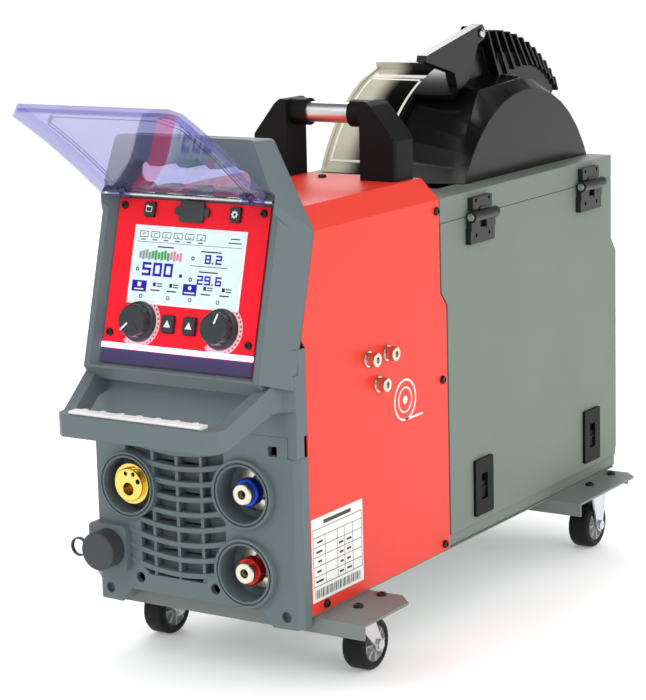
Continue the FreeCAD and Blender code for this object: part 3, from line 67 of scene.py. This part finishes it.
HUB_R = 16.6                  # a caster's hub is inside this radius, and its tread is outside it
SHARP_CORNER = math.radians(28)
WELD_DISTANCE = 0.01 * MM

# Sizes of the patterns in the finishes, and how deep their relief is.
PATCH_SCALE, SMEAR_SCALE, SCUFF_SCALE = 14.0, 22.0, 500.0
RELIEF_DEPTH = 0.4 * MM
DRAWN, GROUND, TURNED = (0.05, 1, 1), (0.1, 1, 1), (1, 0.1, 1)      # grains stretched along X or Y, in metal

# Where the camera stands, in metres, and which way it looks.
CAMERA_PLACE = (1.2326, -1.9517, 0.7257)
CAMERA_AZIMUTH, CAMERA_DOWN, CAMERA_ROLL = (math.radians(a) for a in (32.905, 11.385, -1.522))
CAMERA_LENS, CAMERA_SENSOR = 122.8, 36.0


def place(x, y, z):
    """A point in metres in the object's own frame, from a place in the CAD source's."""
    return Vector((x, y - SEAM_TO_ORIGIN, z)) * MM


def on_panel(x, up, out):
    """A point on the tilted control panel: across, up along it, and out from it."""
    s, c = math.sin(PANEL_LEAN), math.cos(PANEL_LEAN)
    return place(x, PANEL_FOOT_Y + up * s - out * c, PANEL_FOOT_Z + up * c + out * s)


def on_right_side(y, z, out):
    return place(HALF_WIDTH + out, y, z)


def on_lens(x, degrees, out):
    """A point on the hood's lens: across, up round it from its front, and out from it."""
    angle = math.radians(degrees)
    radius = LENS_R + out
    return place(x, HOOD_Y - radius * math.cos(angle), HOOD_Z + radius * math.sin(angle))


# ---- materials ----------------------------------------------------------------------------------
class Paint:
    """A node material under construction, with object coordinates at hand."""

    def __init__(self, name):
        self.material = bpy.data.materials.new(name)
        self.material.use_nodes = True
        self.tree = self.material.node_tree
        self.tree.nodes.clear()
        self.out = self.node("ShaderNodeOutputMaterial")
        self.coords = self.node("ShaderNodeTexCoord").outputs["Object"]

    def done(self, shader):
        self.link(shader, self.out.inputs["Surface"])
        return self.material

    def node(self, kind, **values):
        made = self.tree.nodes.new(kind)
        for key, value in values.items():
            setattr(made, key, value)
        return made

    def link(self, a, b):
        self.tree.links.new(a, b)

    def feed(self, value, socket):
        """Gives a socket a number, a colour or another node's result."""
        if isinstance(value, bpy.types.NodeSocket):
            self.link(value, socket)
        elif isinstance(value, tuple):
            socket.default_value = (*value, 1)
        else:
            socket.default_value = value

    def maths(self, operation, a, b):
        made = self.node("ShaderNodeMath", operation=operation)
        self.feed(a, made.inputs[0])
        self.feed(b, made.inputs[1])
        return made.outputs["Value"]

    def xyz(self):
        """The three coordinates as separate values."""
        split = self.node("ShaderNodeSeparateXYZ")
        self.link(self.coords, split.inputs[0])
        return split.outputs

    def noise(self, scale, detail=4.0, stretch=(1, 1, 1)):
        mapping = self.node("ShaderNodeMapping")
        mapping.inputs["Scale"].default_value = stretch
        self.link(self.coords, mapping.inputs["Vector"])
        noise = self.node("ShaderNodeTexNoise")
        noise.inputs["Scale"].default_value = scale
        noise.inputs["Detail"].default_value = detail
        self.link(mapping.outputs["Vector"], noise.inputs["Vector"])
        return noise.outputs["Fac"]

    def spread(self, noise, low, high):
        """Maps the middle of a noise's range onto low to high."""
        ranged = self.node("ShaderNodeMapRange")
        ranged.inputs["From Min"].default_value = 0.3
        ranged.inputs["From Max"].default_value = 0.7
        ranged.inputs["To Min"].default_value = low
        ranged.inputs["To Max"].default_value = high
        self.link(noise, ranged.inputs["Value"])
        return ranged.outputs["Result"]

    def blend(self, share, a, b):
        """Colour a where share is 0, and colour b where it's 1."""
        made = self.node("ShaderNodeMix", data_type="RGBA")
        self.link(share, made.inputs["Factor"])
        self.feed(a, made.inputs["A"])
        self.feed(b, made.inputs["B"])
        return made.outputs["Result"]

    def mix(self, share, a, b):
        """Shader a where share is 0, and shader b where it's 1."""
        made = self.node("ShaderNodeMixShader")
        self.feed(share, made.inputs["Fac"])
        self.link(a, made.inputs[1])
        self.link(b, made.inputs[2])
        return made.outputs["Shader"]

    def principled(self, colour, rough, shine=0.5):
        shader = self.node("ShaderNodeBsdfPrincipled")
        self.feed(colour, shader.inputs["Base Color"])
        self.feed(rough, shader.inputs["Roughness"])
        shader.inputs["Specular IOR Level"].default_value = shine
        return shader

    def see_through(self, colour):
        shader = self.node("ShaderNodeBsdfTransparent")
        self.feed(colour, shader.inputs["Color"])
        return shader.outputs["BSDF"]

    def mirror(self, rough):
        shader = self.node("ShaderNodeBsdfGlossy")
        shader.inputs["Roughness"].default_value = rough
        return shader.outputs["BSDF"]

    def facing(self, blend):
        """0 face on, and 1 at a glancing angle, alike on both sides of a sheet."""
        weight = self.node("ShaderNodeLayerWeight")
        weight.inputs["Blend"].default_value = blend
        return weight.outputs["Facing"]

    def glance(self):
        """Share of light that's reflected: small face on, and large at a glancing angle."""
        return self.maths("POWER", self.facing(0.5), 3.5)

    def relief(self, grains, depth, edge):
        """Normals with a fine grain and with edges softened over some millimetres."""
        bevel = self.node("ShaderNodeBevel", samples=4)
        bevel.inputs["Radius"].default_value = edge * MM
        bump = self.node("ShaderNodeBump")
        bump.inputs["Strength"].default_value = depth
        bump.inputs["Distance"].default_value = RELIEF_DEPTH
        self.link(grains, bump.inputs["Height"])
        self.link(bevel.outputs["Normal"], bump.inputs["Normal"])
        return bump.outputs["Normal"]


def scaled(colour, factor):
    return tuple(min(1.0, c * factor) for c in colour)


def surface(name, colour, rough, metal=0.0, grain=1400.0, depth=0.06, vary=0.06, coat=0.0, stretch=(1, 1, 1),
            edge=0.7, shine=0.5):
    """Opaque finish: large soft patches, a fine grain in the relief, and softened edges."""
    paint = Paint(name)
    patches = paint.noise(PATCH_SCALE, 5.0)
    grains = paint.noise(grain, 3.0, stretch)
    tint = paint.blend(patches, scaled(colour, 1 - vary), scaled(colour, 1 + vary))
    shader = paint.principled(tint, paint.spread(grains, rough * 0.85, min(1.0, rough * 1.15)), shine)
    shader.inputs["Metallic"].default_value = metal
    shader.inputs["Coat Weight"].default_value = coat
    shader.inputs["Coat Roughness"].default_value = 0.12
    paint.link(paint.relief(grains, depth, edge), shader.inputs["Normal"])
    return paint.done(shader.outputs["BSDF"])


def lit(name, low, high, strength, scale=60.0):
    """Glowing surface whose colour drifts a little across it."""
    paint = Paint(name)
    glow = paint.node("ShaderNodeEmission")
    paint.link(paint.blend(paint.noise(scale, 2.0), low, high), glow.inputs["Color"])
    glow.inputs["Strength"].default_value = strength
    return paint.done(glow.outputs["Emission"])


def flap_line(paint):
    """1 on the moulded line that runs inside the flap's sides and tip, and 0 elsewhere."""
    here = paint.xyz()
    across = paint.maths("ABSOLUTE", here["X"], 0.0)
    ahead = paint.maths("SUBTRACT", (FLAP_PIN_Y - SEAM_TO_ORIGIN) * MM, here["Y"])
    along = paint.maths("DIVIDE", ahead, math.cos(FLAP_SLOPE))
    side = paint.maths("SUBTRACT", across, LINE_HALF * MM)
    tip = paint.maths("SUBTRACT", along, LINE_LONG * MM)
    corner_reach = (LINE_HALF + LINE_LONG - LINE_CORNER) * MM
    corner = paint.maths("SUBTRACT", paint.maths("ADD", across, along), corner_reach)
    past_line = paint.maths("MAXIMUM", paint.maths("MAXIMUM", side, tip), corner)
    return paint.maths("LESS_THAN", paint.maths("ABSOLUTE", past_line, 0.0), LINE_WIDE * MM / 2)


def flap_finish():
    """Violet clear plastic: light passes straight through, more deeply coloured at a glancing angle."""
    paint = Paint("violet_clear")
    tint = paint.blend(paint.facing(0.35), (0.78, 0.79, 0.87), (0.56, 0.53, 0.90))
    clear = paint.see_through(paint.blend(flap_line(paint), tint, (0.16, 0.13, 0.42)))
    smears = paint.noise(SMEAR_SCALE)
    haze = paint.principled((0.50, 0.44, 0.92), paint.spread(smears, 0.06, 0.16))
    body = paint.mix(paint.spread(smears, 0.021, 0.039), clear, haze.outputs["BSDF"])
    return paint.done(paint.mix(paint.glance(), body, paint.mirror(0.05)))


def painted_light_left(paint, clear, dark):
    """Clear plastic with painted light at its left, a mostly opaque cream for light from inside the hood seen
    through it, that turns into a dark shader at its right.
    """
    across = paint.node("ShaderNodeMapRange", interpolation_type="SMOOTHSTEP")
    across.inputs["From Min"].default_value = LENS_PALE_END * MM
    across.inputs["From Max"].default_value = LENS_DARK_START * MM
    paint.link(paint.xyz()["X"], across.inputs["Value"])
    # Painted light: this cream stands in for light from inside the hood seen through the lens.
    painted_light_cream = paint.blend(paint.noise(SMEAR_SCALE), (0.66, 0.62, 0.46), (0.80, 0.77, 0.62))
    pale = paint.mix(0.72, clear, paint.principled(painted_light_cream, 0.18).outputs["BSDF"])
    return paint.mix(across.outputs["Result"], pale, dark)


def lens_finish():
    paint = Paint("smoked_clear")
    clear = paint.see_through(LENS_SMOKE)
    dark = paint.mix(paint.glance(), clear, paint.mirror(0.08))
    # Painted light at the lens's left, a pale cream for the lit inside, and smoked clear at its right.
    return paint.done(painted_light_left(paint, clear, dark))


def lid_frame_finish():
    """Like the lens at its left, with the same painted cream light, where the two run together, and black
    like the hood at its right.
    """
    paint = Paint("lid_frame_finish")
    black = paint.principled((0.003, 0.003, 0.003), 0.26, 0.35)
    # Painted light at the left: the lens's pale cream, and the hood's black at the right.
    return paint.done(painted_light_left(paint, paint.see_through(LENS_SMOKE), black.outputs["BSDF"]))


def wheel_finish(node):
    """Black tread outside a radius from the wheel's axle, and a pale moulded hub inside it."""
    paint = Paint(node + "_finish")
    low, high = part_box(node)
    offset = paint.node("ShaderNodeVectorMath", operation="SUBTRACT")
    offset.inputs[1].default_value = (low + high) / 2
    paint.link(paint.coords, offset.inputs[0])
    flat = paint.node("ShaderNodeVectorMath", operation="MULTIPLY")
    flat.inputs[1].default_value = (0, 1, 1)
    paint.link(offset.outputs["Vector"], flat.inputs[0])
    radius = paint.node("ShaderNodeVectorMath", operation="LENGTH")
    paint.link(flat.outputs["Vector"], radius.inputs[0])
    is_tread = paint.maths("GREATER_THAN", radius.outputs["Value"], HUB_R * MM)
    scuffs = paint.noise(SCUFF_SCALE)
    colour = paint.blend(is_tread, (0.36, 0.37, 0.36), (0.006, 0.006, 0.007))
    shader = paint.principled(colour, paint.spread(scuffs, 0.42, 0.62), 0.2)
    paint.link(paint.relief(scuffs, 0.12, 0.8), shader.inputs["Normal"])
    return paint.done(shader.outputs["BSDF"])


def make_finishes():
    """A finish for each of the record's material slots, and for two kinds of node that differ from theirs."""
    opaque = {
        "grey_moulding": dict(colour=(0.112, 0.144, 0.152), rough=0.50, grain=2600, depth=0.22, shine=0.3),
        "red_paint": dict(colour=(0.74, 0.040, 0.022), rough=0.36, grain=900, depth=0.05, shine=0.3),
        "red_panel": dict(colour=(0.86, 0.008, 0.022), rough=0.30, grain=700, depth=0.03, shine=0.2),
        "grey_paint": dict(colour=(0.158, 0.190, 0.166), rough=0.48, grain=1500, depth=0.16, shine=0.3),
        "bracket_paint": dict(colour=(0.170, 0.196, 0.186), rough=0.46, grain=1200, depth=0.10, shine=0.3),
        "black_moulding": dict(colour=(0.006, 0.006, 0.007), rough=0.50, grain=2200, depth=0.12, shine=0.14),
        "control_grey": dict(colour=(0.030, 0.034, 0.038), rough=0.34, grain=1500, depth=0.08, shine=0.4),
        "black_gloss": dict(colour=(0.003, 0.003, 0.003), rough=0.24, grain=600, depth=0.015, edge=1.6,
                            shine=0.35),
        "white_grip": dict(colour=(0.78, 0.78, 0.75), rough=0.5, grain=1800, depth=0.15),
        "brass": dict(colour=(0.82, 0.62, 0.16), rough=0.20, metal=1.0, grain=1800, depth=0.05,
                      stretch=TURNED),
        "nickel": dict(colour=(0.66, 0.62, 0.52), rough=0.18, metal=1.0, grain=1600, depth=0.04,
                       stretch=TURNED),
        "blue_anodised": dict(colour=(0.01, 0.06, 0.55), rough=0.25, metal=0.6, grain=1500),
        "red_anodised": dict(colour=(0.62, 0.01, 0.01), rough=0.25, metal=0.6, grain=1500),
        "zinc": dict(colour=(0.62, 0.64, 0.66), rough=0.30, metal=1.0, grain=420, depth=0.08, vary=0.12),
        "bare_aluminium": dict(colour=(0.80, 0.81, 0.82), rough=0.36, metal=1.0, grain=2200, depth=0.10,
                               stretch=DRAWN),
        "steel": dict(colour=(0.60, 0.60, 0.60), rough=0.26, metal=1.0, grain=1600, depth=0.08,
                      stretch=GROUND),
        "black_steel": dict(colour=(0.007, 0.007, 0.007), rough=0.36, metal=0.1, grain=1500, depth=0.08),
        "circuit_board": dict(colour=(0.01, 0.10, 0.04), rough=0.4, grain=700, depth=0.1, vary=0.15),
        "black_rubber": dict(colour=(0.035, 0.038, 0.040), rough=0.55, grain=1600, depth=0.15),
        "insulating_board": dict(colour=(0.06, 0.06, 0.055), rough=0.6, grain=500, depth=0.2),
    }
    made = {name: surface(name, **look) for name, look in opaque.items()}
    made["violet_clear"] = flap_finish()
    made["smoked_clear"] = lens_finish()
    made["lid_frame"] = lid_frame_finish()
    made["display"] = lit("display", (0.70, 0.90, 0.95), (0.86, 0.97, 1.0), 1.05)
    made["light_bar"] = lit("light_bar", (0.98, 0.40, 0.95), (1.0, 0.80, 1.0), 4.0, 30.0)
    return made


def smooth_rounds(node):
    """Shades round stretches smoothly and leaves real corners sharp."""
    node.data.polygons.foreach_set("use_smooth", [True] * len(node.data.polygons))
    weld = node.modifiers.new("weld", "WELD")
    weld.merge_threshold = WELD_DISTANCE
    split = node.modifiers.new("corners", "EDGE_SPLIT")
    split.split_angle = SHARP_CORNER


def finish_of(name, slot):
    """A CAD node's finish: its material slot's, apart from the wheels, the lid's frame and the controls."""
    if name.startswith("caster_wheel"):
        return wheel_finish(name)
    if name == "hood_lid_frame":
        return finishes["lid_frame"]
    if name.startswith("knob") or "button" in name:
        return finishes["control_grey"]
    return finishes[slot]


def paint_cad():
    """Gives every CAD node its finish, and smooths its round stretches."""
    slots = {part["node"]: part["material_slot"] for part in frame["record"]["subparts"]}
    for name, node in frame["nodes"].items():
        smooth_rounds(node)
        node.data.materials.clear()
        node.data.materials.append(finish_of(name, slots[name]))


# ---- outlines of marks, as lists of (across, up) points -----------------------------------------
def rectangle(a0, a1, b0, b1):
    return [(a0, b0), (a1, b0), (a1, b1), (a0, b1)]


def frame_lines(a0, a1, b0, b1, line):
    """The four sides of a rectangular frame."""
    return [rectangle(a0, a1, b0, b0 + line), rectangle(a0, a1, b1 - line, b1),
            rectangle(a0, a0 + line, b0 + line, b1 - line), rectangle(a1 - line, a1, b0 + line, b1 - line)]


def at_angle(a, b, radius, angle):
    return a + radius * math.cos(angle), b + radius * math.sin(angle)


def disc(a, b, radius, count=20):
    return [at_angle(a, b, radius, 2 * math.pi * i / count) for i in range(count)]


def ring_pieces(a, b, inner, outer, count, start=0, end=360):
    """Short four-sided pieces that make up an arc. Degrees count from the right, anticlockwise."""
    pieces = []
    for i in range(count):
        t0 = math.radians(start + (end - start) * i / count)
        t1 = math.radians(start + (end - start) * (i + 1) / count)
        pieces.append([at_angle(a, b, inner, t0), at_angle(a, b, outer, t0),
                       at_angle(a, b, outer, t1), at_angle(a, b, inner, t1)])
    return pieces


SEGMENTS = {"0": "abcdef", "2": "abged", "5": "afgcd", "6": "afgedc", "8": "abcdefg", "9": "abfgcd"}


def digits(text, a, b, height):
    """Wide seven-segment numerals, with their lower left corner at (a, b)."""
    width, bar = height * 0.80, height * 0.20
    digit_step, point_step = width + bar * 0.9, bar * 2.2
    half = height / 2
    places = {"a": (0, width, height - bar, height), "g": (0, width, half - bar / 2, half + bar / 2),
              "d": (0, width, 0, bar), "f": (0, bar, half, height), "e": (0, bar, 0, half),
              "b": (width - bar, width, half, height), "c": (width - bar, width, 0, half)}
    marks = []
    for character in text:
        if character == ".":
            marks.append(rectangle(a, a + bar, b, b + bar))
            a += point_step
            continue
        for key in SEGMENTS[character]:
            x0, x1, z0, z1 = places[key]
            marks.append(rectangle(a + x0, a + x1, b + z0, b + z1))
        a += digit_step
    return marks


# ---- printed marks ------------------------------------------------------------------------------
def print_on(name, point, marks, out, finish, body):
    """One mesh of marks on a surface, whose places point gives. Faces are at out, and backs INK behind."""
    mesh = bmesh.new()
    for pairs in marks:
        face = [point(a, b, out) for a, b in pairs]
        depth = point(*pairs[0], out - INK) - face[0]
        front = [mesh.verts.new(p) for p in face]
        back = [mesh.verts.new(p + depth) for p in face]
        mesh.faces.new(front)
        mesh.faces.new(back[::-1])
        for i in range(len(front)):
            j = (i + 1) % len(front)
            mesh.faces.new((front[j], front[i], back[i], back[j]))
    bmesh.ops.recalc_face_normals(mesh, faces=mesh.faces)
    data = bpy.data.meshes.new(name)
    mesh.to_mesh(data)
    mesh.free()
    data.materials.append(finish)
    piece = bpy.data.objects.new(name, data)
    bpy.context.scene.collection.objects.link(piece)
    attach(piece, body)


def show(name, marks, finish, out=SCREEN_FRONT + INK):
    """Marks on the display's glass, or on the plate round it where out says so."""
    print_on(name, on_panel, marks, out, finish, "chassis")


def screen_icons():
    """A row of framed icons, each an arc that's turned further than the one before it."""
    foot, head, step, width = 99, 104.5, 12.5, 9.5
    marks = []
    for i in range(6):
        a = -55 + i * step
        marks += frame_lines(a, a + width, foot, head, 0.6)
        marks.append(rectangle(a + 2, a + 7, foot - 2.6, foot - 1.6))
        marks += ring_pieces(a + 4.8, 101.4, 1.0, 1.6, 6, 40 * i, 40 * i + 200)
    return marks


def screen_captions():
    """Rules between the readings, bars in place of their captions, and a small ring beside each."""
    marks = [rectangle(-57, 57, 94.6, 95.0), rectangle(4, 44, 76.2, 76.8),
             rectangle(-34, -16, 90.4, 91.6), rectangle(14, 36, 89.0, 90.2), rectangle(14, 34, 71, 72.2),
             rectangle(44, 54, 102, 103), rectangle(42, 56, 98.4, 99.4), rectangle(-6.5, -3.5, 65, 68)]
    for a, b in ((-53, 70), (6, 83), (6, 64)):
        marks += ring_pieces(a, b, 0.9, 1.9, 10)
    return marks


def screen_tab_marks():
    """A sign and two bars on each plain tab, and a row of rings below the tabs."""
    marks = []
    for a in (-38, -20, 17, 37):
        marks += [rectangle(a + 2, a + 12, 51.4, 52.6), rectangle(a + 4, a + 7, 55.5, 59)]
        marks += [rectangle(a + 8, a + 14, 57.6, 58.6), rectangle(a + 8, a + 14, 55.4, 56.4)]
    for a in (-46, -16, 8, 38):
        marks += ring_pieces(a, 46, 1.1, 1.9, 10)
    return marks


def make_screen():
    """What the display shows: an icon row, three readings, a level gauge and a row of tabs."""
    violet = lit("screen_violet", (0.03, 0.02, 0.42), (0.07, 0.04, 0.55), 0.9)
    dark = lit("screen_dark", (0.03, 0.04, 0.07), (0.06, 0.07, 0.10), 0.8)
    green = lit("screen_green", (0.10, 0.42, 0.14), (0.16, 0.52, 0.20), 0.9)
    pink = lit("screen_pink", (0.80, 0.30, 0.42), (0.86, 0.40, 0.50), 0.9)
    grey = lit("screen_grey", (0.35, 0.40, 0.42), (0.42, 0.47, 0.48), 0.9)
    white = surface("screen_border", (0.85, 0.86, 0.86), 0.3, depth=0.02)
    readings = digits("500", -48, 64.5, 12.2) + digits("8.2", 19, 79, 8.2) + digits("29.6", 13, 60.2, 8.2)
    show("screen_readings", readings, violet)
    show("screen_lines", screen_icons() + screen_captions(), dark)
    bars = [rectangle(-53 + i * 3.4, -50.2 + i * 3.4, 80 - i % 2, 86 + i % 3) for i in range(14)]
    show("screen_gauge_low", bars[:4], grey)
    show("screen_gauge_middle", bars[4:10], green)
    show("screen_gauge_high", bars[10:], pink)
    show("screen_tabs", [rectangle(-57, -41, 50, 60), rectangle(-1, 14, 50, 60)], violet)
    show("screen_tab_marks", screen_tab_marks(), dark)
    signs = [rectangle(-54, -44, 51.6, 52.8), rectangle(-51, -47, 54.6, 58.4), rectangle(1, 12, 51.6, 52.8),
             disc(6.5, 56.6, 1.8)]
    show("screen_tab_signs", signs, finishes["display"], SCREEN_FRONT + 2 * INK)
    show("screen_border_lines", frame_lines(-61, 61, 39, 109.8, 2.7), white, PLATE_FRONT + 0.3)


def make_dials():
    """A pale band round the lower right of each knob, with dots that grow along it."""
    band_ink = surface("dial_band_ink", (0.84, 0.50, 0.54), 0.4, depth=0.02)
    dot_ink = surface("dial_dot_ink", (0.45, 0.02, 0.05), 0.4, depth=0.02)
    bands, dots = [], []
    for x in (-KNOB_X, KNOB_X):
        bands += ring_pieces(x, KNOB_UP, 18.6, 23.2, 24, -130, 60)
        for i in range(17):
            a, b = at_angle(x, KNOB_UP, 21.4, math.radians(-126 + i * 11.4))
            dots.append(disc(a, b, 0.6 + 0.03 * i, 10))
    print_on("dial_bands", on_panel, bands, PLATE_FRONT + INK, band_ink, "chassis")
    print_on("dial_dots", on_panel, dots, PLATE_FRONT + 2 * INK, dot_ink, "chassis")


def pointer(x, turn):
    """White line on a knob's face, turned clockwise from straight up."""
    angle = math.radians(90 - turn)
    along = Vector((math.cos(angle), math.sin(angle)))
    across = Vector((-along.y, along.x)) * 0.9
    near, far = along * 4.0, along * 13.5
    corners = (near + across, near - across, far - across, far + across)
    return [[(x + c.x, KNOB_UP + c.y) for c in corners]]


def make_panel_marks():
    """The dark strip at the panel's foot, and the signs on its buttons, keys and knobs."""
    white = surface("panel_ink", (0.85, 0.85, 0.85), 0.4, depth=0.02)
    strip = surface("strip_ink", (0.035, 0.022, 0.10), 0.25, depth=0.02, coat=0.4)
    strip_marks = [rectangle(-82, 82, -16, -3)]
    print_on("panel_foot_strip", on_panel, strip_marks, PLATE_FRONT + INK, strip, "chassis")
    a, b = -KEY_X, KEY_UP
    folder = frame_lines(a - 3.3, a + 3.3, b - 2.5, b + 2.5, 0.7)
    folder.append(rectangle(a - 3.3, a - 0.3, b + 2.5, b + 3.4))
    gear = ring_pieces(KEY_X, KEY_UP, 1.4, 2.8, 16)
    for i in range(8):
        gear += ring_pieces(KEY_X, KEY_UP, 2.8, 3.7, 1, i * 45 - 10, i * 45 + 10)

    def sign(name, marks, body, out=BUTTON_FRONT):
        print_on(name, on_panel, marks, out + INK, white, body)

    for x, side in ((-UP_BUTTON_X, "left"), (UP_BUTTON_X, "right")):
        sign(side + "_arrow", [[(x - 3.8, 20), (x + 3.8, 20), (x, 26.5)]], side + "_up_button")
    sign("menu_sign", folder, "menu_key")
    sign("settings_sign", gear, "settings_key")
    sign("left_pointer", pointer(-KNOB_X, 225), "left_knob", KNOB_FRONT)
    sign("right_pointer", pointer(KNOB_X, 20), "right_knob", KNOB_FRONT)


def label_lines():
    """A table with bars in place of its words, a bar for its heading, and stripes along its foot."""
    foot, row = 99, 9
    lines = frame_lines(4, 86, foot, 152, 0.6)
    lines += [rectangle(5, 85, foot + i * row, foot + i * row + 0.5) for i in range(1, 6)]
    lines += [rectangle(y, y + 0.5, foot, foot + 5 * row) for y in (24, 44, 56, 70)]
    low, high = foot + 3.5, foot + 5.5
    lines += [rectangle(8 + i * 7 % 5, 20 - i * 3 % 4, low + i * row, high + i * row) for i in range(5)]
    lines += [rectangle(47 + i * 5 % 3, 54, low + i * row, high + i * row) for i in range(4)]
    lines += [rectangle(60, 68 - i * 5 % 3, low + i * row, high + i * row) for i in range(4)]
    lines += [rectangle(6 + i * 2.4, 6.6 + i * 2.4 + 0.5 * (i % 3), 88, 96) for i in range(32)]
    lines.append(rectangle(22, 68, 154.5, 158))
    return lines


def make_side_marks():
    """A rating label reduced to a frame and bars, and a plain coil sign, with no wording."""
    paper = surface("label_paper", (0.78, 0.78, 0.76), 0.4, depth=0.03)
    ink = surface("label_ink", (0.03, 0.03, 0.03), 0.5, depth=0.02)
    white = surface("side_ink", (0.85, 0.83, 0.82), 0.35, depth=0.02)
    y, z = 168, 238
    coil = ring_pieces(y, z, 18, 20, 40) + ring_pieces(y, z, 11, 12.5, 32)
    coil += [disc(y, z, 4), rectangle(y, y + 32, z - 20, z - 18)]
    print_on("rating_label", on_right_side, [rectangle(2, 88, 85, 162)], INK, paper, "chassis")
    print_on("rating_label_lines", on_right_side, label_lines(), 2 * INK, ink, "chassis")
    print_on("coil_sign", on_right_side, coil, INK, white, "chassis")


def make_lens_lines():
    """Pale frame lines moulded into the hood's lens."""
    pale = surface("lens_lines", (0.80, 0.77, 0.66), 0.3, depth=0.03)
    left, right, line = -57.5, 4.5, 3.0
    marks = []
    for x in (left, right - line):
        marks += [rectangle(x, x + line, 28 + i * 2, 30 + i * 2) for i in range(19)]
    marks += [rectangle(left + line, right - line, a, a + 0.9) for a in (28, 46, 66)]
    print_on("lens_frame_lines", on_lens, marks, 0.3, pale, "hood_lid")


# ---- stage, in metres ---------------------------------------------------------------------------
def make_floor():
    paint = surface("floor_finish", (0.93, 0.93, 0.93), 0.7, grain=40, depth=0.01, vary=0.01, shine=0.1)
    shader = paint.node_tree.nodes["Principled BSDF"]
    shader.inputs["Emission Color"].default_value = (1, 1, 1, 1)
    shader.inputs["Emission Strength"].default_value = 0.20
    half = 12
    mesh = bmesh.new()
    mesh.faces.new([mesh.verts.new((x, y, 0)) for x, y in rectangle(-half, half, -half, half)])
    data = bpy.data.meshes.new("floor")
    mesh.to_mesh(data)
    mesh.free()
    data.materials.append(paint)
    floor = bpy.data.objects.new("floor", data)
    bpy.context.scene.collection.objects.link(floor)


def make_world():
    """White all round, but glossy surfaces see a dark ceiling, as under lights that stand at the sides."""
    world = bpy.data.worlds.new("studio")
    world.use_nodes = True
    tree = world.node_tree
    plain = tree.nodes["Background"]
    plain.inputs["Color"].default_value = (1, 1, 1, 1)
    plain.inputs["Strength"].default_value = 0.90
    direction = tree.nodes.new("ShaderNodeSeparateXYZ")
    tree.links.new(tree.nodes.new("ShaderNodeTexCoord").outputs["Generated"], direction.inputs[0])
    fade = tree.nodes.new("ShaderNodeMapRange")
    for key, value in (("From Min", 0.15), ("From Max", 0.60), ("To Min", 0.95), ("To Max", 0.12)):
        fade.inputs[key].default_value = value
    tree.links.new(direction.outputs["Z"], fade.inputs["Value"])
    reflected = tree.nodes.new("ShaderNodeBackground")
    tree.links.new(fade.outputs["Result"], reflected.inputs["Strength"])
    chosen = tree.nodes.new("ShaderNodeMixShader")
    tree.links.new(tree.nodes.new("ShaderNodeLightPath").outputs["Is Glossy Ray"], chosen.inputs["Fac"])
    tree.links.new(plain.outputs["Background"], chosen.inputs[1])
    tree.links.new(reflected.outputs["Background"], chosen.inputs[2])
    tree.links.new(chosen.outputs["Shader"], tree.nodes["World Output"].inputs["Surface"])
    bpy.context.scene.world = world
    bpy.context.scene.view_settings.view_transform = "Standard"


def soft_light(name, position, size, power):
    """A large lamp that faces the middle of the object."""
    target = Vector((0, 0, 0.25))
    data = bpy.data.lights.new(name, "AREA")
    data.shape = "RECTANGLE"
    data.size, data.size_y = size
    data.energy = power
    lamp = bpy.data.objects.new(name, data)
    lamp.location = position
    lamp.rotation_mode = "QUATERNION"
    lamp.rotation_quaternion = (target - Vector(position)).to_track_quat("-Z", "Y")
    bpy.context.scene.collection.objects.link(lamp)


def make_lights():
    soft_light("key", (-0.6, -2.4, 2.4), (1.6, 1.6), 31)
    soft_light("side_fill", (2.6, -0.3, 1.3), (1.4, 2.0), 25)
    soft_light("rear_rim", (-1.2, 2.2, 2.0), (1.8, 1.0), 30)


def make_camera():
    """Stands to the right of the front, a little above the object, and looks slightly down at it."""
    data = bpy.data.cameras.new("camera")
    data.lens = CAMERA_LENS
    data.sensor_width = CAMERA_SENSOR
    data.clip_start, data.clip_end = 0.1, 60.0
    camera = bpy.data.objects.new("camera", data)
    level = math.pi / 2
    camera.matrix_world = (Matrix.Translation(Vector(CAMERA_PLACE)) @ Matrix.Rotation(CAMERA_AZIMUTH, 4, "Z")
                           @ Matrix.Rotation(level - CAMERA_DOWN, 4, "X")
                           @ Matrix.Rotation(CAMERA_ROLL, 4, "Z"))
    bpy.context.scene.collection.objects.link(camera)
    bpy.context.scene.camera = camera


finishes = make_finishes()
paint_cad()
make_screen()
make_dials()
make_panel_marks()
make_side_marks()
make_lens_lines()
make_floor()
make_world()
make_lights()
make_camera()
